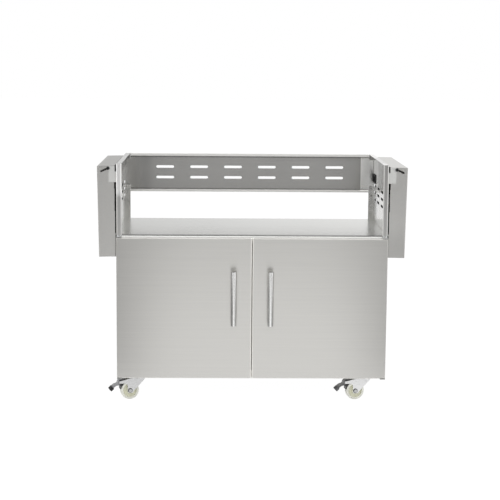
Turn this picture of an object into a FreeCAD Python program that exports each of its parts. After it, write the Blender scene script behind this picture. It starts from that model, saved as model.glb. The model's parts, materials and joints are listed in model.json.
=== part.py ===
import FreeCAD, Part
import math
import os
import types

import Sketcher

# Grill cart: an open bay for a drop-in grill head over a two-door cupboard, on four swivel casters,
# with a fold-down shelf on each side. X runs to the right, Y to the back and Z up from the floor.
# The origin lies on the floor, midway across the cart and midway between handles and back.

# Driving dimensions, in millimetres, degrees and counts
SIZES = {
    "cart_width": 1050,
    "frame_depth": 539,
    "cart_height": 939,
    "frame_sheet": 1.5,
    "bend_radius": 2.5,
    "flange_width": 20.5,
    "seam_gap": 0.5,
    "slot_length": 75,
    "slot_height": 10.5,
    "side_slot_pitch": 131,
    "side_slot_rise": 28.3,
    "side_slot_columns": 4,
    "side_slot_rows": 3,
    "left_slot_drop": 142,
    "right_slot_drop": 154,
    "hose_hole_length": 83,
    "hose_hole_height": 30,
    "hose_hole_drop": 97,
    "hose_hole_from_back": 56,
    "grommet_lip": 3,
    "grommet_wall": 3.5,
    "grommet_proud": 3.5,
    "rail_height": 160.5,
    "rail_depth": 12,
    "rail_lip": 10,
    "rail_low_lip": 6.5,
    "rail_tab_height": 110,
    "rail_slot_drop": 78.5,
    "rail_slot_pitch": 143,
    "rail_slot_rise": 44.5,
    "rail_slot_columns": 6,
    "rail_slot_rows": 2,
    "deck_level": 664,
    "deck_flange": 20,
    "deck_setback": 3,
    "deck_gap": 2.3,
    "front_rail_height": 28,
    "front_rail_depth": 25,
    "floor_flange": 30,
    "back_flange": 15,
    "vent_height": 87,
    "vent_rise": 28.3,
    "vent_columns": 4,
    "vent_rows": 2,
    "door_reveal": 9.5,
    "door_thickness": 20,
    "door_gap": 3,
    "door_split": 2.5,
    "door_sheet": 1.2,
    "door_bend": 3.5,
    "liner_depth": 6,
    "liner_clearance": 0.3,
    "handle_length": 212,
    "handle_diameter": 22,
    "handle_projection": 48,
    "handle_offset": 71,
    "handle_drop": 230.5,
    "handle_chamfer": 1.2,
    "post_diameter": 12,
    "post_inset": 34,
    "screw_diameter": 5,
    "screw_head": 10,
    "screw_head_height": 3,
    "screw_depth": 12,
    "screw_clearance": 0.2,
    "pivot_edge": 7,
    "pivot_front": 8,
    "pivot_gap": 1.5,
    "pivot_play": 0.3,
    "pin_diameter": 5,
    "pin_head": 8,
    "pin_head_height": 2,
    "pin_reach": 10,
    "running_play": 0.05,
    "bush_diameter": 8,
    "bush_flange": 12,
    "bush_length": 12,
    "hinge_sheet": 2,
    "hinge_leaf": 8,
    "hinge_plate_width": 20,
    "hinge_plate_reach": 28,
    "catch_width": 30,
    "catch_height": 16,
    "catch_depth": 20,
    "catch_offset": 34,
    "catch_gap": 0.6,
    "strike_thickness": 1.4,
    "shelf_length": 352,
    "shelf_thickness": 67.5,
    "shelf_drop": 10,
    "shelf_inset": 11,
    "shelf_gap": 7.5,
    "shelf_sheet": 1.2,
    "shelf_bend": 2.6,
    "pivot_out": 24,
    "pivot_drop": 8,
    "slot_run": 27,
    "slot_fall": 12,
    "bolt_diameter": 7,
    "bolt_head": 13,
    "bolt_head_height": 4.5,
    "nut_height": 5.5,
    "slot_play": 0.2,
    "bracket_sheet": 3,
    "bracket_clearance": 1,
    "bracket_height": 62,
    "bracket_neck": 21,
    "bracket_width": 29.5,
    "bracket_setback": 6,
    "bracket_lug": 7.5,
    "bracket_leaf": 45,
    "stiffener_height": 16,
    "stiffener_width": 34,
    "stiffener_flange": 14,
    "pad_diameter": 18,
    "pad_spacing": 320,
    "upper_pad_drop": 54,
    "lower_pad_thickness": 1.2,
    "lower_pad_rise": 12,
    "pad_clearance": 0.2,
    "caster_side_inset": 77,
    "caster_end_inset": 72,
    "left_caster_yaw": 15,
    "right_caster_yaw": 9,
    "caster_trail": 35,
    "wheel_diameter": 72,
    "wheel_width": 26,
    "wheel_crown": 3,
    "rim_depth": 9,
    "web_width": 14,
    "hub_diameter": 26,
    "hub_width": 28,
    "axle_diameter": 8,
    "axle_hex": 13,
    "axle_head": 5,
    "fork_sheet": 2.5,
    "fork_gap": 31,
    "fork_head": 48,
    "fork_foot": 10,
    "fork_shoulder": 17,
    "fork_headroom": 10.5,
    "fork_neck": 5,
    "fork_nose": 10.5,
    "fork_chin": 4.5,
    "fork_brow": 4.5,
    "fork_arch": 12,
    "race_height": 6.55,
    "race_diameter": 44,
    "race_gap": 0.4,
    "kingpin_diameter": 12,
    "kingpin_head": 18,
    "kingpin_head_height": 3,
    "plate_length": 94,
    "plate_width": 68,
    "plate_thickness": 2.5,
    "plate_corner": 8,
    "plate_bolt_length": 72,
    "plate_bolt_width": 46,
    "caster_bolt": 8,
    "caster_bolt_hex": 13,
    "caster_bolt_head": 5.5,
    "caster_nut": 6.5,
    "pedal_pin": 5,
    "pedal_pin_gap": 11.4,
    "pedal_pin_angle": 45.9,
    "pedal_width": 28,
    "pedal_reach": 47,
    "pedal_fall": 34,
    "pedal_crown": 12,
    "pedal_heel": 14,
    "pedal_hub": 10.4,
    "pedal_arch": 12,
    "pedal_toe": 1.5,
    "shoe_thickness": 4.4,
    "shoe_low": 10,
    "shoe_high": 45,
    "brake_clearance": 0.6,
}

doc = FreeCAD.newDocument("GrillCart")
dims = doc.addObject("Spreadsheet::Sheet", "Dims")
for row, (name, number) in enumerate(SIZES.items(), start=1):
    dims.set(f"A{row}", name)
    dims.set(f"B{row}", str(number))
    dims.setAlias(f"B{row}", name)
doc.recompute()


class Size:
    """A length that keeps the sheet formula it comes from beside its number."""

    def __init__(self, formula, number):
        self.formula = formula
        self.number = number

    def __add__(self, other):
        other = as_size(other)
        return Size(f"({self.formula} + {other.formula})", self.number + other.number)

    def __sub__(self, other):
        other = as_size(other)
        return Size(f"({self.formula} - {other.formula})", self.number - other.number)

    def __mul__(self, other):
        other = as_size(other)
        return Size(f"({self.formula} * {other.formula})", self.number * other.number)

    def __truediv__(self, other):
        other = as_size(other)
        return Size(f"({self.formula} / {other.formula})", self.number / other.number)

    def __radd__(self, other):
        return as_size(other) + self

    def __rsub__(self, other):
        return as_size(other) - self

    def __rmul__(self, other):
        return as_size(other) * self

    def __neg__(self):
        return Size(f"(0 - {self.formula})", -self.number)


def as_size(value):
    return value if isinstance(value, Size) else Size(repr(float(value)), float(value))


def cosine(angle):
    return Size(f"cos({angle.formula})", math.cos(math.radians(angle.number)))


def sine(angle):
    return Size(f"sin({angle.formula})", math.sin(math.radians(angle.number)))


def bind(obj, prop, size):
    obj.setExpression(prop, as_size(size).formula)


d = types.SimpleNamespace(**{name: Size(f"Dims.{name}", dims.get(name)) for name in SIZES})

# Heights of the casters, from the wheel up to the plate that the floor stands on
WHEEL_RADIUS = d.wheel_diameter / 2
HEAD_LOW = d.wheel_diameter + d.fork_headroom
FORK_TOP = HEAD_LOW + d.fork_sheet
LOWER_RACE_TOP = FORK_TOP + d.race_height
UPPER_RACE_LOW = LOWER_RACE_TOP + d.race_gap
PLATE_LOW = UPPER_RACE_LOW + d.race_height
MOUNT_HEIGHT = PLATE_LOW + d.plate_thickness

# Main planes of the cart, all worked out from the driving dimensions
HALF_WIDTH = d.cart_width / 2
INNER_HALF = HALF_WIDTH - d.frame_sheet
OVERALL_DEPTH = d.frame_depth + d.door_gap + d.door_thickness + d.handle_projection
DOOR_FRONT = d.handle_projection - OVERALL_DEPTH / 2
FRAME_FRONT = DOOR_FRONT + d.door_thickness + d.door_gap
FRAME_BACK = OVERALL_DEPTH / 2
INNER_FRONT = FRAME_FRONT + d.frame_sheet
INNER_BACK = FRAME_BACK - d.frame_sheet
FRAME_MIDDLE = (FRAME_FRONT + FRAME_BACK) / 2
DECK_UNDER = d.deck_level - d.frame_sheet
BEND_INSIDE = d.bend_radius - d.frame_sheet
LEFT, RIGHT = -1, 1
FRONT, REAR = -1, 1
SIDE_NAME = {LEFT: "left", RIGHT: "right"}
END_NAME = {FRONT: "front", REAR: "rear"}

# For each origin plane: the world axes of a sketch's two directions and of its normal
PLANES = {"XY_Plane": "xyz", "XZ_Plane": "xzy", "YZ_Plane": "yzx"}
BACKWARD_PLANES = ("XZ_Plane",)
TOUCHING = 1e-4
# Length of a punched cut, in sheet thicknesses, half of it to each side of the face
PUNCH_DEPTH = 4

nodes = []


# Helpers that draw bound sketches and turn them into solids
def new_body(label):
    body = doc.addObject("PartDesign::Body", label)
    body.Label = label
    return body


def node(obj, label=None):
    """Mark an object as one of the cart's pieces."""
    if label:
        obj.Label = label
    nodes.append(obj)
    return obj


def group(label, members):
    """Several separate solids that share one piece's name."""
    compound = doc.addObject("Part::Compound", label)
    compound.Links = members
    return node(compound, label)


def place(obj, x=0, y=0, z=0):
    for axis, value in zip("xyz", (x, y, z)):
        bind(obj, f"Placement.Base.{axis}", value)


def turn(obj, axis, angle):
    """Turn an object about an axis through its own origin by a positive bound angle."""
    obj.Placement = FreeCAD.Placement(FreeCAD.Vector(), FreeCAD.Rotation(axis, angle.number))
    bind(obj, "Placement.Rotation.Angle", angle)


def origin_part(body, role):
    return next(part for part in body.Origin.OriginFeatures if part.Role == role)


def plane_of(sketch):
    return sketch.AttachmentSupport[0][0].Role


def normal_sign(plane):
    """Which way along its world axis a plane's normal points."""
    return -1 if plane in BACKWARD_PLANES else 1


def sketch_on(body, plane, level=0, shift=(0, 0)):
    """A sketch parallel to an origin plane, at a level along the world axis across it."""
    sketch = body.newObject("Sketcher::SketchObject", f"{body.Name}_outline")
    sketch.AttachmentSupport = [(origin_part(body, plane), "")]
    sketch.MapMode = "FlatFace"
    bind(sketch, "AttachmentOffset.Base.x", shift[0])
    bind(sketch, "AttachmentOffset.Base.y", shift[1])
    bind(sketch, "AttachmentOffset.Base.z", as_size(level) * normal_sign(plane))
    return sketch


def pin_point(sketch, geometry, position, x, y):
    for kind, size in (("DistanceX", as_size(x)), ("DistanceY", as_size(y))):
        index = sketch.addConstraint(Sketcher.Constraint(kind, -1, 1, geometry, position, size.number))
        bind(sketch, f"Constraints[{index}]", size)


def polygon(sketch, points):
    points = [(as_size(x), as_size(y)) for x, y in points]
    first = sketch.GeometryCount
    corners = [FreeCAD.Vector(x.number, y.number, 0) for x, y in points]
    for start, end in zip(corners, corners[1:] + corners[:1]):
        sketch.addGeometry(Part.LineSegment(start, end))
    for index in range(len(points)):
        following = first + (index + 1) % len(points)
        sketch.addConstraint(Sketcher.Constraint("Coincident", first + index, 2, following, 1))
    for index, (x, y) in enumerate(points):
        pin_point(sketch, first + index, 1, x, y)


def rectangle(sketch, across, up):
    (x0, x1), (y0, y1) = across, up
    polygon(sketch, [(x0, y0), (x1, y0), (x1, y1), (x0, y1)])


def circle(sketch, x, y, diameter):
    x, y, radius = as_size(x), as_size(y), as_size(diameter) / 2
    centre = FreeCAD.Vector(x.number, y.number, 0)
    ring = sketch.addGeometry(Part.Circle(centre, FreeCAD.Vector(0, 0, 1), radius.number))
    pin_point(sketch, ring, 3, x, y)
    index = sketch.addConstraint(Sketcher.Constraint("Radius", ring, radius.number))
    bind(sketch, f"Constraints[{index}]", radius)


def slot(sketch, start, end, width):
    """A round-ended slot between two centres."""
    (x0, y0), (x1, y1) = [(as_size(x), as_size(y)) for x, y in (start, end)]
    radius = as_size(width) / 2
    first_centre = FreeCAD.Vector(x0.number, y0.number, 0)
    second_centre = FreeCAD.Vector(x1.number, y1.number, 0)
    along = (second_centre - first_centre).normalize()
    across = FreeCAD.Vector(-along.y, along.x, 0)
    side = math.atan2(across.y, across.x)
    edge = across * radius.number
    up = FreeCAD.Vector(0, 0, 1)
    lower = sketch.addGeometry(Part.LineSegment(first_centre - edge, second_centre - edge))
    far_circle = Part.Circle(second_centre, up, radius.number)
    far = sketch.addGeometry(Part.ArcOfCircle(far_circle, side - math.pi, side))
    upper = sketch.addGeometry(Part.LineSegment(second_centre + edge, first_centre + edge))
    near_circle = Part.Circle(first_centre, up, radius.number)
    near = sketch.addGeometry(Part.ArcOfCircle(near_circle, side, side + math.pi))
    for before, after in ((lower, far), (far, upper), (upper, near), (near, lower)):
        sketch.addConstraint(Sketcher.Constraint("Tangent", before, 2, after, 1))
    sketch.addConstraint(Sketcher.Constraint("Equal", far, near))
    index = sketch.addConstraint(Sketcher.Constraint("Radius", far, radius.number))
    bind(sketch, f"Constraints[{index}]", radius)
    pin_point(sketch, near, 3, x0, y0)
    pin_point(sketch, far, 3, x1, y1)


def level_slot(sketch, x, y):
    """One of the cart's punched vent slots, level, about its centre."""
    reach = (d.slot_length - d.slot_height) / 2
    slot(sketch, (x - reach, y), (x + reach, y), d.slot_height)


def corner_reach(across_flats):
    """Distance from a hexagon's middle to its corners."""
    return as_size(across_flats) / math.sqrt(3)


def hexagon(sketch, x, y, across_flats):
    reach = corner_reach(across_flats)
    turns = [math.radians(60 * step) for step in range(6)]
    polygon(sketch, [(x + reach * math.cos(angle), y + reach * math.sin(angle)) for angle in turns])


def pad(body, sketch, length, toward=1, both=False):
    """Raise a sketch along the world axis across its plane, one way or evenly both ways."""
    feature = body.newObject("PartDesign::Pad", f"{body.Name}_pad")
    feature.Profile = sketch
    bind(feature, "Length", length)
    if both:
        feature.SideType = "Symmetric"
    else:
        feature.Reversed = toward != normal_sign(plane_of(sketch))
    return feature


def cut(body, sketch, length=None, toward=1, both=False):
    """Sink a sketch into the body, to a length or right through."""
    feature = body.newObject("PartDesign::Pocket", f"{body.Name}_cut")
    feature.Profile = sketch
    if length is None:
        feature.Type = "ThroughAll"
    else:
        bind(feature, "Length", length)
    if both:
        feature.SideType = "Symmetric"
    else:
        feature.Reversed = toward == normal_sign(plane_of(sketch))
    return feature


def repeat(body, feature, steps):
    """Repeat a cut along one or two world axes; a step is an axis, a pitch and a count."""
    pattern = body.newObject("PartDesign::LinearPattern", f"{body.Name}_pattern")
    pattern.Originals = [feature]
    for suffix, (axis, pitch, count) in zip(("", "2"), steps):
        setattr(pattern, f"Direction{suffix}", (origin_part(body, f"{axis.upper()}_Axis"), [""]))
        bind(pattern, f"Length{suffix}", pitch * (count - 1))
        bind(pattern, f"Occurrences{suffix}", count)
    body.Tip = pattern
    return pattern


def edge_names(feature, wanted):
    doc.recompute()
    return [f"Edge{index}" for index, edge in enumerate(feature.Shape.Edges, start=1) if wanted(edge)]


def face_names(feature, wanted):
    doc.recompute()
    return [f"Face{index}" for index, face in enumerate(feature.Shape.Faces, start=1) if wanted(face)]


def round_edges(body, feature, wanted, radius, kind="Fillet"):
    """Round or chamfer those edges of a feature that a test picks out."""
    rounding = body.newObject(f"PartDesign::{kind}", f"{body.Name}_{kind}")
    rounding.Base = (feature, edge_names(feature, wanted))
    bind(rounding, "Radius" if kind == "Fillet" else "Size", radius)
    return rounding


def runs_along(edge, axis):
    """Whether an edge is straight along a world axis."""
    spans = {letter: getattr(edge.BoundBox, f"{letter.upper()}Length") for letter in "xyz"}
    length = spans.pop(axis)
    return length > TOUCHING and max(spans.values()) < TOUCHING


def corner_at(edge, axis, *spots):
    """Whether a straight edge along an axis stands at one of the given cross-section points."""
    if not runs_along(edge, axis):
        return False
    here = [getattr(edge.CenterOfMass, letter) for letter in "xyz" if letter != axis]
    return any(all(abs(a - as_size(b).number) < TOUCHING for a, b in zip(here, spot)) for spot in spots)


def pan(label, plane, across, up, face, depth, toward, sheet, bend, open_sides=(), nested=False):
    """A folded sheet pan: a flat face with its edges bent the same way, open opposite the face.

    open_sides names the edges that stay unbent: low or high, across or up.
    A nested pan has its corners rounded too, to sit inside the bends of another.
    """
    body = new_body(label)
    u_axis, v_axis, w_axis = PLANES[plane]
    sides = {
        "low_across": (u_axis, across[0]),
        "high_across": (u_axis, across[1]),
        "low_up": (v_axis, up[0]),
        "high_up": (v_axis, up[1]),
    }
    unbent = [(axis, as_size(value).number) for axis, value in (sides[name] for name in open_sides)]
    face_level = as_size(face).number
    open_level = face_level + toward * as_size(depth).number
    sketch = sketch_on(body, plane, face)
    rectangle(sketch, across, up)
    block = pad(body, sketch, depth, toward)

    def at_side(shape):
        return any(abs(getattr(shape.CenterOfMass, axis) - value) < TOUCHING for axis, value in unbent)

    def at_level(shape, level):
        return abs(getattr(shape.CenterOfMass, w_axis) - level) < TOUCHING

    def bent_edge(edge):
        corner = nested and runs_along(edge, w_axis)
        return (corner or at_level(edge, face_level)) and not at_side(edge)

    def open_face(piece):
        return at_level(piece, open_level) or at_side(piece)

    folded = round_edges(body, block, bent_edge, bend)
    shell = body.newObject("PartDesign::Thickness", f"{body.Name}_shell")
    shell.Base = (folded, face_names(folded, open_face))
    bind(shell, "Value", sheet)
    shell.Reversed = True
    return body


def punch(body, plane, face, draw, sheet):
    """Cut what draw puts in a sketch through the face of a pan, and no farther than its bends."""
    sketch = sketch_on(body, plane, face)
    draw(sketch)
    return cut(body, sketch, sheet * PUNCH_DEPTH, both=True)


def rod(label, axis_plane, x, y, stations):
    """A stepped round bar: each station is a start, an end and a diameter along the plane's normal."""
    body = new_body(label)
    for start, end, diameter in stations:
        sketch = sketch_on(body, axis_plane, start)
        circle(sketch, x, y, diameter)
        pad(body, sketch, end - start, 1)
    return body


def bore(body, plane, x, y, diameter):
    """A round hole right through a body."""
    sketch = sketch_on(body, plane)
    circle(sketch, x, y, diameter)
    return cut(body, sketch, both=True)


# Frame: side panels, back, floor, deck and rails
def side_panel(side):
    slot_level = d.cart_height - (d.left_slot_drop if side == LEFT else d.right_slot_drop)
    body = pan(f"{SIDE_NAME[side]}_side_panel", "YZ_Plane", (FRAME_FRONT, FRAME_BACK),
               (MOUNT_HEIGHT, d.cart_height), HALF_WIDTH * side, d.flange_width, -side,
               d.frame_sheet, d.bend_radius, ("low_up",))
    if side == RIGHT:
        hole_back = FRAME_BACK - d.hose_hole_from_back + d.hose_hole_length / 2
        hole_low = d.cart_height - d.hose_hole_drop - d.hose_hole_height / 2
        punch(body, "YZ_Plane", HALF_WIDTH * side, lambda sketch: rectangle(
            sketch, (hole_back - d.hose_hole_length, hole_back),
            (hole_low, hole_low + d.hose_hole_height)), d.frame_sheet)
    first_y = FRAME_MIDDLE - d.side_slot_pitch * (d.side_slot_columns - 1) / 2
    first_z = slot_level - d.side_slot_rise * (d.side_slot_rows - 1) / 2
    first = punch(body, "YZ_Plane", HALF_WIDTH * side,
                  lambda sketch: level_slot(sketch, first_y, first_z), d.frame_sheet)
    repeat(body, first, (("y", d.side_slot_pitch, d.side_slot_columns),
                         ("z", d.side_slot_rise, d.side_slot_rows)))
    return node(body)


def hose_grommet():
    """Rubber lining of the hose hole, lipped on both faces of the right side panel."""
    body = new_body("hose_grommet")
    middle = FRAME_BACK - d.hose_hole_from_back
    level = d.cart_height - d.hose_hole_drop

    def ring(start, length, grow):
        half_long = d.hose_hole_length / 2 + grow
        half_high = d.hose_hole_height / 2 + grow
        sketch = sketch_on(body, "YZ_Plane", start)
        rectangle(sketch, (middle - half_long, middle + half_long), (level - half_high, level + half_high))
        return pad(body, sketch, length, 1)

    ring(INNER_HALF - d.grommet_proud, d.grommet_proud, d.grommet_lip)
    ring(INNER_HALF, d.frame_sheet, 0)
    ring(HALF_WIDTH, d.grommet_proud, d.grommet_lip)
    sketch = sketch_on(body, "YZ_Plane", INNER_HALF)
    half_long = d.hose_hole_length / 2 - d.grommet_wall
    half_high = d.hose_hole_height / 2 - d.grommet_wall
    rectangle(sketch, (middle - half_long, middle + half_long), (level - half_high, level + half_high))
    cut(body, sketch, both=True)
    return node(body)


def caster_positions():
    """Swivel axes of the four casters, named by corner."""
    spots = {}
    for end in (FRONT, REAR):
        y = FRAME_FRONT + d.caster_end_inset if end == FRONT else FRAME_BACK - d.caster_end_inset
        for side in (LEFT, RIGHT):
            spots[f"{END_NAME[end]}_{SIDE_NAME[side]}"] = ((HALF_WIDTH - d.caster_side_inset) * side, y)
    return spots


def plate_bolt_offsets():
    return [(d.plate_bolt_length / 2 * sx, d.plate_bolt_width / 2 * sy) for sx in (-1, 1) for sy in (-1, 1)]


def floor_panel():
    body = pan("floor_panel", "XY_Plane", (-INNER_HALF, INNER_HALF), (INNER_FRONT, INNER_BACK),
               MOUNT_HEIGHT, d.floor_flange, 1, d.frame_sheet, d.bend_radius, nested=True)

    def bolt_holes(sketch):
        for x, y in caster_positions().values():
            for along, across in plate_bolt_offsets():
                circle(sketch, x + along, y + across, d.caster_bolt + d.screw_clearance)

    punch(body, "XY_Plane", MOUNT_HEIGHT, bolt_holes, d.frame_sheet)
    return node(body)


def back_panel():
    """Closes the cupboard below the deck, with two rows of vent slots low down."""
    body = pan("back_panel", "XZ_Plane", (-INNER_HALF, INNER_HALF),
               (MOUNT_HEIGHT + d.floor_flange + d.seam_gap, d.deck_level - d.deck_flange - d.seam_gap),
               INNER_BACK, d.back_flange, -1, d.frame_sheet, d.bend_radius)
    first_x = -d.rail_slot_pitch * (d.vent_columns - 1) / 2
    first = punch(body, "XZ_Plane", INNER_BACK,
                  lambda sketch: level_slot(sketch, first_x, MOUNT_HEIGHT + d.vent_height), d.frame_sheet)
    repeat(body, first, (("x", d.rail_slot_pitch, d.vent_columns), ("z", d.vent_rise, d.vent_rows)))
    return node(body)


def grill_deck():
    """Shelf under the grill head, bent down at both sides and at the back."""
    return node(pan("grill_deck", "XY_Plane", (-INNER_HALF, INNER_HALF),
                    (INNER_FRONT + d.deck_setback, INNER_BACK), d.deck_level, d.deck_flange, -1,
                    d.frame_sheet, d.bend_radius, ("low_up",), nested=True))


def front_rail():
    """Channel behind the door tops, a narrow shadow line below the deck's front edge."""
    half = INNER_HALF - d.frame_sheet - d.seam_gap
    top = DECK_UNDER - d.deck_gap
    return node(pan("front_rail", "XZ_Plane", (-half, half), (top - d.front_rail_height, top), INNER_FRONT,
                    d.front_rail_depth, 1, d.frame_sheet, d.bend_radius, ("low_across", "high_across")))


def rear_rail():
    """Lipped channel across the back, open to the front, with flat tabs behind its ends."""
    body = new_body("rear_rail")
    sheet = d.frame_sheet
    top, low = d.cart_height, d.cart_height - d.rail_height
    back, front = INNER_BACK, INNER_BACK - d.rail_depth
    length = d.cart_width - d.flange_width * 2 - d.seam_gap * 2
    sketch = sketch_on(body, "YZ_Plane")
    polygon(sketch, [
        (back, low), (back, top), (front, top), (front, top - d.rail_lip),
        (front + sheet, top - d.rail_lip), (front + sheet, top - sheet), (back - sheet, top - sheet),
        (back - sheet, low + sheet), (front + sheet, low + sheet), (front + sheet, low + d.rail_low_lip),
        (front, low + d.rail_low_lip), (front, low),
    ])
    channel = pad(body, sketch, length, both=True)
    corners = ((back, low), (back, top), (front, top), (front, low))
    round_edges(body, channel, lambda edge: corner_at(edge, "x", *corners), d.bend_radius - sheet / 2)
    tab_half = INNER_HALF - BEND_INSIDE
    middle = top - d.rail_slot_drop
    tabs = sketch_on(body, "XZ_Plane", back)
    rectangle(tabs, (-tab_half, tab_half), (middle - d.rail_tab_height / 2, middle + d.rail_tab_height / 2))
    pad(body, tabs, sheet, -1)
    first_x = -d.rail_slot_pitch * (d.rail_slot_columns - 1) / 2
    first_z = middle - d.rail_slot_rise * (d.rail_slot_rows - 1) / 2
    first = punch(body, "XZ_Plane", back, lambda sketch: level_slot(sketch, first_x, first_z), sheet)
    repeat(body, first, (("x", d.rail_slot_pitch, d.rail_slot_columns),
                         ("z", d.rail_slot_rise, d.rail_slot_rows)))
    return node(body)


# Doors: each is drawn about its hinge axis, with distances counted inwards from it
DOOR_WIDTH = (d.cart_width - d.door_split) / 2
DOOR_BOTTOM = MOUNT_HEIGHT + d.pivot_gap
DOOR_TOP = d.deck_level - d.door_reveal
HANDLE_LEVEL = DOOR_TOP - d.handle_drop
HINGE_X = HALF_WIDTH - d.pivot_edge
HINGE_Y = DOOR_FRONT + d.pivot_front
DOOR_FACE = -d.pivot_front
DOOR_BACK = d.door_thickness - d.pivot_front
HINGE_TO_FRAME = DOOR_BACK + d.door_gap


def inwards(side, near, far):
    """The X range between two distances counted from a hinge towards the cart's middle."""
    return (near, far) if side == LEFT else (-far, -near)


def hang(obj, side):
    place(obj, HINGE_X * side, HINGE_Y)
    return obj


def handle_x(side):
    return (HINGE_X - d.handle_offset) * -side


def handle_post_levels():
    reach = d.handle_length / 2 - d.post_inset
    return (HANDLE_LEVEL - reach, HANDLE_LEVEL + reach)


def door_skin(side):
    body = pan(f"{SIDE_NAME[side]}_door_skin", "XZ_Plane",
               inwards(side, -d.pivot_edge, DOOR_WIDTH - d.pivot_edge), (DOOR_BOTTOM, DOOR_TOP),
               DOOR_FACE, d.door_thickness, 1, d.door_sheet, d.door_bend)

    def screw_holes(sketch):
        for level in handle_post_levels():
            circle(sketch, handle_x(side), level, d.screw_diameter + d.screw_clearance * 2)

    punch(body, "XZ_Plane", DOOR_FACE, screw_holes, d.door_sheet)
    bore(body, "XY_Plane", 0, 0, d.bush_diameter)
    return node(hang(body, side))


def door_liner(side):
    """Inner face of the door: a shallow pan that slips inside the skin's folded edges."""
    inset = d.door_sheet + d.liner_clearance
    across = inwards(side, inset - d.pivot_edge, DOOR_WIDTH - d.pivot_edge - inset)
    body = pan(f"{SIDE_NAME[side]}_door_liner", "XZ_Plane", across,
               (DOOR_BOTTOM + inset, DOOR_TOP - inset), DOOR_BACK, d.liner_depth, -1,
               d.door_sheet, d.door_bend)
    return node(hang(body, side))


BAR_AXIS = DOOR_FACE - d.handle_projection + d.handle_diameter / 2


def handle_bar(side):
    low = HANDLE_LEVEL - d.handle_length / 2
    body = new_body(f"{SIDE_NAME[side]}_handle_bar")
    sketch = sketch_on(body, "XY_Plane", low)
    circle(sketch, handle_x(side), BAR_AXIS, d.handle_diameter)
    bar = pad(body, sketch, d.handle_length, 1)
    round_edges(body, bar, lambda edge: edge.BoundBox.ZLength < TOUCHING, d.handle_chamfer, "Chamfer")
    return node(hang(body, side))


def handle_posts(side):
    """Two standoffs with a saddle end that fits round the bar, drilled for a screw."""
    posts = []
    for name, level in zip(("lower", "upper"), handle_post_levels()):
        body = new_body(f"{SIDE_NAME[side]}_{name}_post")
        sketch = sketch_on(body, "XZ_Plane", DOOR_FACE)
        circle(sketch, handle_x(side), level, d.post_diameter)
        pad(body, sketch, DOOR_FACE - BAR_AXIS, -1)
        bore(body, "XY_Plane", handle_x(side), BAR_AXIS, d.handle_diameter)
        drill = sketch_on(body, "XZ_Plane", DOOR_FACE)
        circle(drill, handle_x(side), level, d.screw_diameter)
        cut(body, drill, d.screw_depth, -1)
        posts.append(hang(body, side))
    return group(f"{SIDE_NAME[side]}_handle_posts", posts)


def handle_screws(side):
    """Screws from inside the door skin into the posts."""
    inside = DOOR_FACE + d.door_sheet
    tip = DOOR_FACE - d.screw_depth
    screws = []
    for name, level in zip(("lower", "upper"), handle_post_levels()):
        body = rod(f"{SIDE_NAME[side]}_{name}_screw", "XZ_Plane", handle_x(side), level,
                   ((tip, inside, d.screw_diameter),
                    (inside, inside + d.screw_head_height, d.screw_head)))
        screws.append(hang(body, side))
    return group(f"{SIDE_NAME[side]}_handle_screws", screws)


def hinge_bushes(side):
    """Flanged bushes in the door's top and bottom edges, bored for the hinge pins."""
    flange = d.pivot_gap - d.pivot_play
    spans = {
        "lower": ((DOOR_BOTTOM - flange, DOOR_BOTTOM, d.bush_flange),
                  (DOOR_BOTTOM, DOOR_BOTTOM + d.bush_length, d.bush_diameter)),
        "upper": ((DOOR_TOP - d.bush_length, DOOR_TOP, d.bush_diameter),
                  (DOOR_TOP, DOOR_TOP + flange, d.bush_flange)),
    }
    bushes = []
    for name, stations in spans.items():
        body = rod(f"{SIDE_NAME[side]}_{name}_bush", "XY_Plane", 0, 0, stations)
        bore(body, "XY_Plane", 0, 0, d.pin_diameter + d.running_play * 2)
        bushes.append(hang(body, side))
    return group(f"{SIDE_NAME[side]}_hinge_bushes", bushes)


def hinge_brackets(side):
    """Upper angle on the frame's front flange and lower plate under the floor, one hinge pin in each."""
    outer = d.seam_gap - d.pivot_edge
    nose = d.seam_gap - d.pivot_front
    leaf_low = DOOR_TOP + d.pivot_gap
    upper = new_body(f"{SIDE_NAME[side]}_upper_bracket")
    sketch = sketch_on(upper, "XY_Plane", leaf_low)
    rectangle(sketch, inwards(side, outer, d.flange_width - d.pivot_edge), (nose, HINGE_TO_FRAME))
    pad(upper, sketch, d.hinge_sheet, 1)
    leaf = sketch_on(upper, "XZ_Plane", HINGE_TO_FRAME)
    rectangle(leaf, inwards(side, outer, d.flange_width - d.pivot_edge), (leaf_low, leaf_low + d.hinge_leaf))
    pad(upper, leaf, d.hinge_sheet, -1)
    lower = new_body(f"{SIDE_NAME[side]}_lower_bracket")
    sketch = sketch_on(lower, "XY_Plane", MOUNT_HEIGHT)
    rectangle(sketch, inwards(side, outer, outer + d.hinge_plate_width),
              (nose, HINGE_TO_FRAME + d.hinge_plate_reach))
    pad(lower, sketch, d.hinge_sheet, -1)
    for body in (upper, lower):
        bore(body, "XY_Plane", 0, 0, d.pin_diameter)
        hang(body, side)
    return group(f"{SIDE_NAME[side]}_hinge_brackets", [upper, lower])


def hinge_pins(side):
    """A headed pin down through the upper bracket and a flush one pressed into the lower."""
    leaf_top = DOOR_TOP + d.pivot_gap + d.hinge_sheet
    plate_low = MOUNT_HEIGHT - d.hinge_sheet
    upper = rod(f"{SIDE_NAME[side]}_upper_pin", "XY_Plane", 0, 0,
                ((DOOR_TOP - d.pin_reach, leaf_top, d.pin_diameter),
                 (leaf_top, leaf_top + d.pin_head_height, d.pin_head)))
    lower = rod(f"{SIDE_NAME[side]}_lower_pin", "XY_Plane", 0, 0,
                ((plate_low, DOOR_BOTTOM + d.pin_reach, d.pin_diameter),))
    return group(f"{SIDE_NAME[side]}_hinge_pins", [hang(upper, side), hang(lower, side)])


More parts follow.
